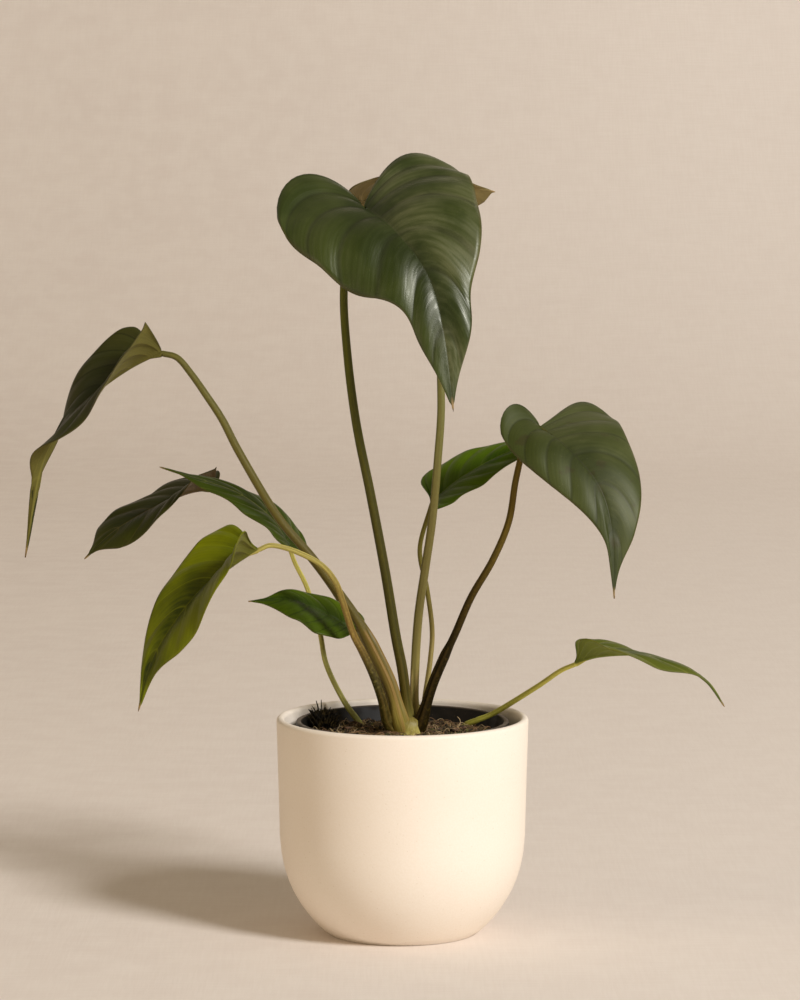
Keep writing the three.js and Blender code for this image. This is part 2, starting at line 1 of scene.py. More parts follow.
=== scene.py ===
# %% [markdown]
# # A potted homalomena, dressed over its imported solids
# The plant has ten heart-shaped leaves on long stalks. They grow from one short crown in a black nursery
# pot, and that pot stands in a round cream ceramic pot. The imported solids give every place and size. Each
# piece here repeats its solid's formula with many more points and adds the veins, sheaths, crumbs and
# finishes.
#
# ## Tools and frame
# Blender is driven through bpy, and numpy carries the long lists of points. The imported solids are loaded
# first.

# %% Tools and frame
import math

import bpy
import numpy as np
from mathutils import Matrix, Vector, noise


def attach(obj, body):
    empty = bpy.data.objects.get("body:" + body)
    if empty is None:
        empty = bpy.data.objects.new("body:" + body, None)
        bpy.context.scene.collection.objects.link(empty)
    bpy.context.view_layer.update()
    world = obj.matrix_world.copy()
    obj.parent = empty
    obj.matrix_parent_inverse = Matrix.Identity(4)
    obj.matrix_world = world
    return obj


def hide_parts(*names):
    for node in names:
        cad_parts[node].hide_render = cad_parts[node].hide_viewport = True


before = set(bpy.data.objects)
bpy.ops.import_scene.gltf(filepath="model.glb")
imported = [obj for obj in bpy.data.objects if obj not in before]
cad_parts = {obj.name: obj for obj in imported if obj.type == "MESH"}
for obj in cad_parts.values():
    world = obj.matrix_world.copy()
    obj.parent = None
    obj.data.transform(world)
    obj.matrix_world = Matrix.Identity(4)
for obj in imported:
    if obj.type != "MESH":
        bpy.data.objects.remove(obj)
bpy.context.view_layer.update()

# %% [markdown]
# ## Camera
# A photo is matched by a camera of the same place and lens. The pot's ellipses give the pitch, six degrees
# down, and their sizes give the distance. With automatic fit the sensor's width lies along the longer side
# of the image. Sizes of the plant are written in millimetres, and places of camera, cloth and lights in
# metres.

# %% Camera
MM = 0.001
SENSOR_WIDTH = 36
LENS = 153.5
CAMERA_PLACE = (-0.0014, -2.4, 0.5)
CAMERA_PITCH = 6

camera_data = bpy.data.cameras.new("photo_camera")
camera_data.sensor_width = SENSOR_WIDTH
camera_data.lens = LENS
camera = bpy.data.objects.new("photo_camera", camera_data)
camera.location = CAMERA_PLACE
camera.rotation_euler = (math.radians(90 - CAMERA_PITCH), 0, 0)
bpy.context.scene.collection.objects.link(camera)
bpy.context.scene.camera = camera
print("camera at", tuple(camera.location))

# %% [markdown]
# ## Making a mesh
# Every piece is a mesh made from a list of points in millimetres and a list of faces. A small helper turns
# them into an object, shades it smooth, and stores numbers on its points, such as how far along a leaf a
# point is. The materials read those numbers, so veins stay on the leaf wherever it bends. A second helper
# hangs a piece on the body it rides on and hides the solids it stands for.

# %% Making a mesh
def make_object(name, points, faces, materials, face_material=None, numbers=None):
    mesh = bpy.data.meshes.new(name)
    mesh.from_pydata((np.asarray(points, float) * MM).tolist(), [], faces)
    for material in materials:
        mesh.materials.append(material)
    if face_material is not None:
        mesh.polygons.foreach_set("material_index", np.asarray(face_material, np.int32))
    for label, values in (numbers or {}).items():
        kept = mesh.attributes.new(label, "FLOAT", "POINT")
        kept.data.foreach_set("value", np.asarray(values, np.float32))
    mesh.shade_smooth()
    obj = bpy.data.objects.new(name, mesh)
    bpy.context.scene.collection.objects.link(obj)
    return obj


def dress(obj, slot, *nodes):
    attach(obj, "root")
    if nodes:
        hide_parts(*nodes)
    print(obj.name, len(obj.data.polygons), "faces, stands for", nodes)


print("1000 mm are", 1000 * MM, "m")

# %% [markdown]
# ## Colours and shader helpers
# Colours are easiest to write as a screen shows them, and Blender wants them linear, so one helper
# converts them. The next ones add a node, do a sum, or read a number or a place of the surface. They keep
# each material below short enough to read.

# %% Colours and node helpers
def screen(red, green, blue):
    linear = [((c / 255 + 0.055) / 1.055) ** 2.4 if c > 10 else c / 255 / 12.92 for c in (red, green, blue)]
    return (*linear, 1)


def shade(colour, factor):
    return [min(255, c * factor) for c in colour]


def add(tree, kind, **settings):
    node = tree.nodes.new(kind)
    for label, value in settings.items():
        setattr(node, label, value)
    return node


def feed(tree, socket, source):
    if isinstance(source, bpy.types.NodeSocket):
        tree.links.new(source, socket)
    else:
        socket.default_value = source


def fed(tree, kind, sources, **settings):
    """A new node with a value or another node's socket fed to each named or numbered input."""
    node = add(tree, kind, **settings)
    for label, source in sources.items():
        feed(tree, node.inputs[label], source)
    return node.outputs


def mixed(tree, mask, first, second):
    sources = {"Factor": mask, "A": first, "B": second}
    return fed(tree, "ShaderNodeMix", sources, data_type="RGBA", clamp_factor=True)["Result"]


def sums(tree, operation, first, second=0.0, third=0.0):
    return fed(tree, "ShaderNodeMath", {0: first, 1: second, 2: third}, operation=operation)[0]


def times(tree, first, second):
    return sums(tree, "MULTIPLY", first, second)


def ramped(tree, value, low, high, start=0.0, end=1.0):
    sources = {"Value": value, "From Min": low, "From Max": high, "To Min": start, "To Max": end}
    return fed(tree, "ShaderNodeMapRange", sources, interpolation_type="SMOOTHSTEP", clamp=True)["Result"]


def number(tree, label):
    return add(tree, "ShaderNodeAttribute", attribute_name=label).outputs["Fac"]


def object_place(tree):
    return add(tree, "ShaderNodeTexCoord").outputs["Object"]


def along_axis(tree, axis):
    return fed(tree, "ShaderNodeSeparateXYZ", {0: object_place(tree)})[axis]


def joined(tree, x, y, z):
    return fed(tree, "ShaderNodeCombineXYZ", {0: x, 1: y, 2: z})[0]


def cloudy(tree, vector, scale=1, detail=2):
    return fed(tree, "ShaderNodeTexNoise", {"Vector": vector, "Scale": scale, "Detail": detail})["Fac"]


print("white on screen is", screen(255, 255, 255))

# %% [markdown]
# ## Groups and materials
# A node group is a small shader tree with named inputs and outputs that many materials can place. A
# material here is painted like a model: a ground colour first, then thin coats over it, each with a mask
# that says where it lies and a share that says how much of it shows. Roughness and bump follow the same
# masks.

# %% Groups and materials
def new_group(name, inputs, outputs):
    tree = bpy.data.node_groups.new(name, "ShaderNodeTree")
    for label, value in inputs.items():
        socket = tree.interface.new_socket(name=label, in_out="INPUT", socket_type="NodeSocketFloat")
        socket.default_value = value
    for label in outputs:
        tree.interface.new_socket(name=label, in_out="OUTPUT", socket_type="NodeSocketFloat")
    return tree, tree.nodes.new("NodeGroupInput").outputs, tree.nodes.new("NodeGroupOutput").inputs


def use_group(tree, group, **values):
    sources = {label.replace("_", " "): value for label, value in values.items()}
    return fed(tree, "ShaderNodeGroup", sources, node_tree=group)


def masked(tree, group, **values):
    return use_group(tree, group, **values)["Mask"]


def new_material(name, **settings):
    material = bpy.data.materials.new(name)
    material.use_nodes = True
    shader = material.node_tree.nodes["Principled BSDF"]
    for label, value in settings.items():
        shader.inputs[label.replace("_", " ")].default_value = value
    return material, material.node_tree, shader


def painted(tree, shader, ground, *coats):
    """Coats are (mask, share, colour as a screen shows it), laid over the ground in their order."""
    tint = screen(*ground)
    for mask, share, colour in coats:
        cover = mask if share == 1 else times(tree, mask, share)
        tint = mixed(tree, cover, tint, screen(*colour))
    feed(tree, shader.inputs["Base Color"], tint)


def roughened(tree, shader, mask, least, most):
    feed(tree, shader.inputs["Roughness"], ramped(tree, mask, 0, 1, least, most))


def bumped(tree, shader, height, distance_mm, strength=1.0):
    sources = {"Strength": strength, "Distance": distance_mm * MM, "Height": height}
    feed(tree, shader.inputs["Normal"], fed(tree, "ShaderNodeBump", sources)["Normal"])


print("material helpers ready")

# %% [markdown]
# ## Shared effects: mottle, specks and streaks
# Leaves, stalks, soil and pot all vary in soft patches, carry fine specks, or run in streaks. Each effect
# is one node group with its own inputs, built once, and every material places it with its own values.
# Streaks read the numbers that a stalk stores on its points, so that they run up it and close round it.

# %% Shared effects
STREAK_DETAIL = 3
SPECK_CHANCE = (0.6, 0.62)

mottle, inlet, outlet = new_group("mottle", {"Scale": 60, "Low": 0.4, "High": 0.6, "Detail": 4}, ["Mask"])
cloud = cloudy(mottle, object_place(mottle), inlet["Scale"], inlet["Detail"])
feed(mottle, outlet["Mask"], ramped(mottle, cloud, inlet["Low"], inlet["High"]))

specks, inlet, outlet = new_group("specks", {"Scale": 400, "Size": 0.12}, ["Mask"])
cells = fed(specks, "ShaderNodeTexVoronoi", {"Vector": object_place(specks), "Scale": inlet["Scale"]})
chosen = ramped(specks, cells["Color"], *SPECK_CHANCE)
near = ramped(specks, cells["Distance"], inlet["Size"], times(specks, inlet["Size"], 0.5))
feed(specks, outlet["Mask"], times(specks, chosen, near))

streaks, inlet, outlet = new_group("streaks", {"Across": 6, "Along": 3, "Low": 0.4, "High": 0.6}, ["Mask"])
turn = times(streaks, number(streaks, "around"), 2 * math.pi)
ring = [times(streaks, sums(streaks, wave, turn), inlet["Across"]) for wave in ("COSINE", "SINE")]
upwards = times(streaks, number(streaks, "along"), inlet["Along"])
cloud = cloudy(streaks, joined(streaks, *ring, upwards), detail=STREAK_DETAIL)
feed(streaks, outlet["Mask"], ramped(streaks, cloud, inlet["Low"], inlet["High"]))
print("shared effects:", [group.name for group in bpy.data.node_groups])

# %% [markdown]
# ## Backdrop
# The plant stands on a cloth sweep: one pale sheet that lies on the floor and curves up behind. It is
# stage and not part of the object. The wall stands behind every place that the plant is looked at from, so
# that it doesn't hide the plant in a view from behind. The cloth has linen threads both ways. Its soft
# upright creases are painted shade, and it is painted a little lighter to the right, which is painted
# light.
# Only its material shows them.

# %% Backdrop
SWEEP_START = -8.0
SWEEP_BEND = 2.6
SWEEP_RADIUS = 1.8
SWEEP_TOP = 3.2
SWEEP_HALF_WIDTH = 8.0
PAINTED_CREASE_STRETCH = (34, 34, 2.2)
THREAD_STRETCHES = ((430, 26, 26), (26, 430, 430))
PAINTED_LIGHT_LEFT = -0.5
PAINTED_LIGHT_RIGHT = 0.6

bend = [math.radians(angle) for angle in range(0, 91, 6)]
profile = [(SWEEP_START, 0)]
profile += [(SWEEP_BEND + SWEEP_RADIUS * math.sin(a), SWEEP_RADIUS * (1 - math.cos(a))) for a in bend]
profile += [(SWEEP_BEND + SWEEP_RADIUS, SWEEP_TOP)]
sweep_points = [(x / MM, y / MM, z / MM) for y, z in profile for x in (-SWEEP_HALF_WIDTH, SWEEP_HALF_WIDTH)]
sweep_faces = [(2 * i, 2 * i + 1, 2 * i + 3, 2 * i + 2) for i in range(len(profile) - 1)]


def stretched_cloud(tree, stretch, detail):
    place = fed(tree, "ShaderNodeMapping", {"Vector": object_place(tree), "Scale": stretch})[0]
    return ramped(tree, cloudy(tree, place, detail=detail), 0.35, 0.65)


cloth, tree, shader = new_material("backdrop_cloth", Roughness=0.9)
# Painted shade: soft upright streaks of tone that stand for the creases of the cloth.
painted_crease_shade = stretched_cloud(tree, PAINTED_CREASE_STRETCH, 5)
patches = masked(tree, mottle, Scale=4, Low=0.3, High=0.7)
# Painted light: the cloth grows lighter to the right, where the light falls more strongly.
painted_light_to_right = ramped(tree, along_axis(tree, "X"), PAINTED_LIGHT_LEFT, PAINTED_LIGHT_RIGHT)
linen = 0
for stretch in THREAD_STRETCHES:
    linen = sums(tree, "MULTIPLY_ADD", stretched_cloud(tree, stretch, 2), 0.5, linen)
painted(tree, shader, (224, 212, 202),
        (painted_crease_shade, 1, (228, 217, 207)),
        (patches, 0.35, (232, 221, 210)),
        (painted_light_to_right, 0.6, (244, 235, 228)),
        (linen, 0.14, (206, 190, 175)))
bumped(tree, shader, linen, 0.2, 0.2)
make_object("backdrop", sweep_points, sweep_faces, [cloth])
print("backdrop wall at", SWEEP_BEND + SWEEP_RADIUS, "m")

# %% [markdown]
# ## Light
# One large soft light from the right, above and in front, gives the bright right side of the pot and the
# long soft shadow to the left. It hangs far off, so that it lights near and far cloth alike. Its size
# grows with its distance and its power with the square, which keeps its look on the plant. A weak warm
# light from the left and a warm world fill the shade, as a pale room does.

# %% Light
LIGHT_TARGET = Vector((0.0, 0.0, 0.2))
KEY_AWAY = 3
KEY_PLACE = LIGHT_TARGET + KEY_AWAY * Vector((1.75, -1.75, 1.55))
KEY_SIZE = 0.75 * KEY_AWAY
KEY_POWER = 78.5 * KEY_AWAY**2
FILL_PLACE = Vector((-2.4, -1.3, 0.75))
FILL_SIZE = 1.6
FILL_POWER = 9
ROOM_COLOUR = (1.0, 0.85, 0.62, 1)
ROOM_STRENGTH = 0.3


def disk_light(name, place, size, power, colour):
    data = bpy.data.lights.new(name, "AREA")
    data.shape = "DISK"
    data.size = size
    data.energy = power
    data.color = colour
    light = bpy.data.objects.new(name, data)
    light.location = place
    light.rotation_euler = (LIGHT_TARGET - place).to_track_quat("-Z", "Y").to_euler()
    light.visible_camera = False
    bpy.context.scene.collection.objects.link(light)
    print(name, power, "W")


disk_light("key_light", KEY_PLACE, KEY_SIZE, KEY_POWER, (1.0, 0.995, 0.99))
disk_light("fill_light", FILL_PLACE, FILL_SIZE, FILL_POWER, (1.0, 0.82, 0.58))
world = bpy.data.worlds.new("pale_room")
world.use_nodes = True
room = world.node_tree.nodes["Background"]
room.inputs["Color"].default_value = ROOM_COLOUR
room.inputs["Strength"].default_value = ROOM_STRENGTH
bpy.context.scene.world = world
bpy.context.scene.view_settings.view_transform = "Standard"

# %% [markdown]
# ## Turned pots
# A pot is turned on a wheel, so its shape is one profile swept round the axis. The profile here is the
# solid's own, with more steps along it and round it. Where the profile meets the axis, one point closes
# the end. The stalks, the crown and the soil are rings of points too, so they use the same faces.

# %% Turned pots
def tube_faces(rings, sides, start=0):
    """Four-sided faces between neighbouring rings of points, which are listed ring by ring."""
    faces = []
    for low in range(start, start + (rings - 1) * sides, sides):
        for k in range(sides):
            n = (k + 1) % sides
            faces.append((low + k, low + n, low + sides + n, low + sides + k))
    return faces


def capped_faces(rings, sides):
    """The same, with both ends closed round the two middle points that follow the rings in the list."""
    first = rings * sides
    top = first - sides
    faces = tube_faces(rings, sides)
    for k in range(sides):
        n = (k + 1) % sides
        faces += [(first, n, k), (first + 1, top + k, top + n)]
    return faces


def turn_profile(name, profile, sides, material):
    rim = [(r, z) for r, z in profile if r > 0]
    angles = np.linspace(0, 2 * math.pi, sides, endpoint=False)
    points = [(r * math.cos(a), r * math.sin(a), z) for r, z in rim for a in angles]
    points += [(0, 0, profile[0][1]), (0, 0, profile[-1][1])]
    return make_object(name, points, capped_faces(len(rim), sides), [material])


def smooth(x):
    x = np.clip(x, 0, 1)
    return x * x * (3 - 2 * x)


print("faces of a three-sided tube with two rings:", capped_faces(2, 3))

# %% [markdown]
# ## Ceramic pot
# The pot is cast stoneware with a thin matte glaze. Its side is almost upright above and turns in late to
# a small foot. Inside, the wall grows thicker towards the floor. The glaze is finely grained, and up close
# it shows faint pinholes.

# %% Ceramic pot
POT_HEIGHT = 124
POT_RIM_RADIUS = 71.7
POT_BELLY_RADIUS = 70.2
POT_BELLY_HEIGHT = 70
POT_FOOT_RADIUS = 43
POT_FOOT_ROUND = 1.6
POT_FOOT_ROUND_OUT = 1.9
POT_CURVE = 2.9
POT_WALL = 4.5
POT_WALL_GROWS = 0.8
POT_WALL_GROWS_BELOW = 40
POT_FLOOR = 7
POT_OUTSIDE_STEPS = [2.6, 3.6, 5, 7, 9.5, 12.5, 16, 20, 25, 31, 38, 46, 56, 70, 90]
POT_INSIDE_STEPS = [100, 80, 60, 50, 40, 32, 25, 18, 13, 10]
POT_SIDES = 160


def pot_radius(z):
    if z > POT_BELLY_HEIGHT:
        return np.interp(z, [POT_BELLY_HEIGHT, POT_HEIGHT], [POT_BELLY_RADIUS, POT_RIM_RADIUS])
    return POT_BELLY_RADIUS - (POT_BELLY_RADIUS - POT_FOOT_RADIUS) * (1 - z / POT_BELLY_HEIGHT) ** POT_CURVE


def pot_inside(z):
    depth = 1 - min(1, (z - POT_FLOOR) / POT_WALL_GROWS_BELOW)
    return pot_radius(z) - POT_WALL * (1 + POT_WALL_GROWS * depth**2)


lip = POT_WALL / 2
lip_height = POT_HEIGHT - lip
lip_middle = pot_radius(lip_height) - lip
flat_foot = POT_FOOT_RADIUS - POT_FOOT_ROUND
pot_profile = [(0, 0), (flat_foot, 0)]
pot_profile += [(flat_foot + POT_FOOT_ROUND_OUT * math.sin(a), POT_FOOT_ROUND * (1 - math.cos(a)))
                for a in np.radians([25, 50, 75])]
pot_profile += [(pot_radius(z), z) for z in (*POT_OUTSIDE_STEPS, lip_height)]
pot_profile += [(lip_middle + lip * math.cos(a), lip_height + lip * math.sin(a))
                for a in np.radians(range(15, 180, 15))]
pot_profile += [(pot_inside(z), z) for z in (lip_height, *POT_INSIDE_STEPS)]
pot_profile += [(pot_inside(POT_FLOOR) - 1, POT_FLOOR), (0, POT_FLOOR)]

glaze, tree, shader = new_material("matte_cream_glaze", Roughness=0.62)
grain = masked(tree, mottle, Scale=900, Low=0.3, High=0.7, Detail=6)
clouds = masked(tree, mottle, Scale=9, Low=0.3, High=0.7)
pinholes = masked(tree, specks, Scale=330, Size=0.16)
painted(tree, shader, (242, 229, 214),
        (clouds, 1, (245, 234, 220)),
        (grain, 0.2, (234, 218, 196)),
        (pinholes, 0.25, (206, 184, 154)))
roughened(tree, shader, grain, 0.56, 0.68)
bumped(tree, shader, sums(tree, "SUBTRACT", grain, pinholes), 0.06, 0.35)
dress(turn_profile("ceramic_pot_body", pot_profile, POT_SIDES, glaze), "ceramic", "ceramic_pot")

# %% [markdown]
# ## Nursery pot
# The thin black pot that the plant was grown in. Only its rolled rim and a strip of its inner wall show
# above the soil. The plastic is slightly glossy, with a haze of dried water and dust, and the rim is worn
# paler. The lip's edges are broken by a few tenths of a millimetre, as moulded edges are.

# %% Nursery pot
SEAT_GAP = 0.3
NURSERY_TOP = 121.7
NURSERY_TOP_RADIUS = 59
NURSERY_LIP = 2
NURSERY_LIP_HEIGHT = 3
NURSERY_FOOT_RADIUS = 40
NURSERY_WALL = 1.2
NURSERY_WORN = 0.8
NURSERY_SIDES = 120
nursery_foot = POT_FLOOR + SEAT_GAP


def nursery_radius(z):
    return float(np.interp(z, [nursery_foot, NURSERY_TOP], [NURSERY_FOOT_RADIUS, NURSERY_TOP_RADIUS]))


under = NURSERY_TOP - NURSERY_LIP_HEIGHT
lip_out = nursery_radius(under) + NURSERY_LIP
lip_in = NURSERY_TOP_RADIUS - NURSERY_WALL
nursery_profile = [
    (0, nursery_foot), (NURSERY_FOOT_RADIUS, nursery_foot), (nursery_radius(under), under),
    (lip_out - 0.2, under + 0.1), (lip_out, under + 0.6), (lip_out, NURSERY_TOP - 0.7),
    (lip_out - 0.25, NURSERY_TOP - 0.2), (lip_out - 0.8, NURSERY_TOP),
    (lip_in + 0.3, NURSERY_TOP), (lip_in, NURSERY_TOP - 0.3),
    (NURSERY_FOOT_RADIUS - NURSERY_WALL, nursery_foot + NURSERY_WALL), (0, nursery_foot + NURSERY_WALL),
]

plastic, tree, shader = new_material("black_nursery_plastic", Specular_IOR_Level=0.22)
haze = masked(tree, mottle, Scale=120, Low=0.42, High=0.72)
dust = masked(tree, specks, Scale=700, Size=0.2)
worn = ramped(tree, along_axis(tree, "Z"), (NURSERY_TOP - NURSERY_WORN) * MM, NURSERY_TOP * MM)
painted(tree, shader, (20, 17, 13),
        (haze, 0.25, (52, 42, 32)),
        (dust, 0.35, (104, 88, 66)),
        (worn, 0.5, (112, 98, 82)))
roughened(tree, shader, haze, 0.5, 0.68)
nursery = turn_profile("nursery_pot_body", nursery_profile, NURSERY_SIDES, plastic)
dress(nursery, "nursery_plastic", "nursery_pot")

# %% [markdown]
# ## Smooth courses
# A stalk and a midrib are drawn as a few points with a Catmull-Rom curve through them, the same curve as
# in the solids. Its ends are continued straight. Folds and curls of a leaf run on such curves as well.

# %% Smooth courses
def course(values, share):
    """Points or numbers at even steps from 0 to 1, read at any share."""
    values = np.asarray(values, float)
    last = len(values) - 1
    padded = np.concatenate([[2 * values[0] - values[1]], values, [2 * values[-1] - values[-2]]])
    at = np.clip(np.asarray(share, float), 0, 1) * last
    i = np.minimum(at.astype(int), last - 1)
    f = (at - i).reshape(at.shape + (1,) * (values.ndim - 1))
    a, b, c, d = padded[i], padded[i + 1], padded[i + 2], padded[i + 3]
    return b + 0.5 * f * (c - a + f * (2 * a - 5 * b + 4 * c - d + f * (3 * (b - c) + d - a)))


def hump(distance, reach):
    """A smooth bump of height 1 that has almost gone at twice its reach."""
    return np.exp(-((distance / reach) ** 2))


def run_along(points):
    """The length of a line of points up to each of them."""
    return np.concatenate([[0], np.cumsum(np.linalg.norm(np.diff(points, axis=0), axis=1))])


def unit(vectors):
    return vectors / np.maximum(np.linalg.norm(vectors, axis=-1, keepdims=True), 1e-9)


def bezier(points, s):
    s = np.asarray(s)[..., None]
    r = 1 - s
    return r**3 * points[0] + 3 * r * r * s * points[1] + 3 * r * s * s * points[2] + s**3 * points[3]


print("halfway between 0, 4 and 10:", course([0, 4, 10], 0.5))

# %% [markdown]
# ## The ten leaves' sizes
# Each leaf is a stalk and a blade. The stalk has its route in millimetres, and its half-width at shares of
# that route. The blade has its midrib, the directions that its upper side faces, and the widths, folds and
# curls of its two halves. These are the solids' own values, so a blade made from them lies where its solid
# is.

# %% The ten leaves' sizes
def half(**own):
    usual = {
        "width": 0.34, "lobe": 0.2, "lobe_curl": 0, "gap": 0.1, "back": 0.3, "round": 1, "shoulder": 0.88,
        "belly": 0.55, "waist": 0.7, "pinch": (0.7, 0.1, 0), "horn": 0, "fold": (12, 8, 5),
        "curl": (-20, -20, -10),
    }
    return {**usual, **own}


def new_leaf(**own):
    return {"rows": 84, **own}


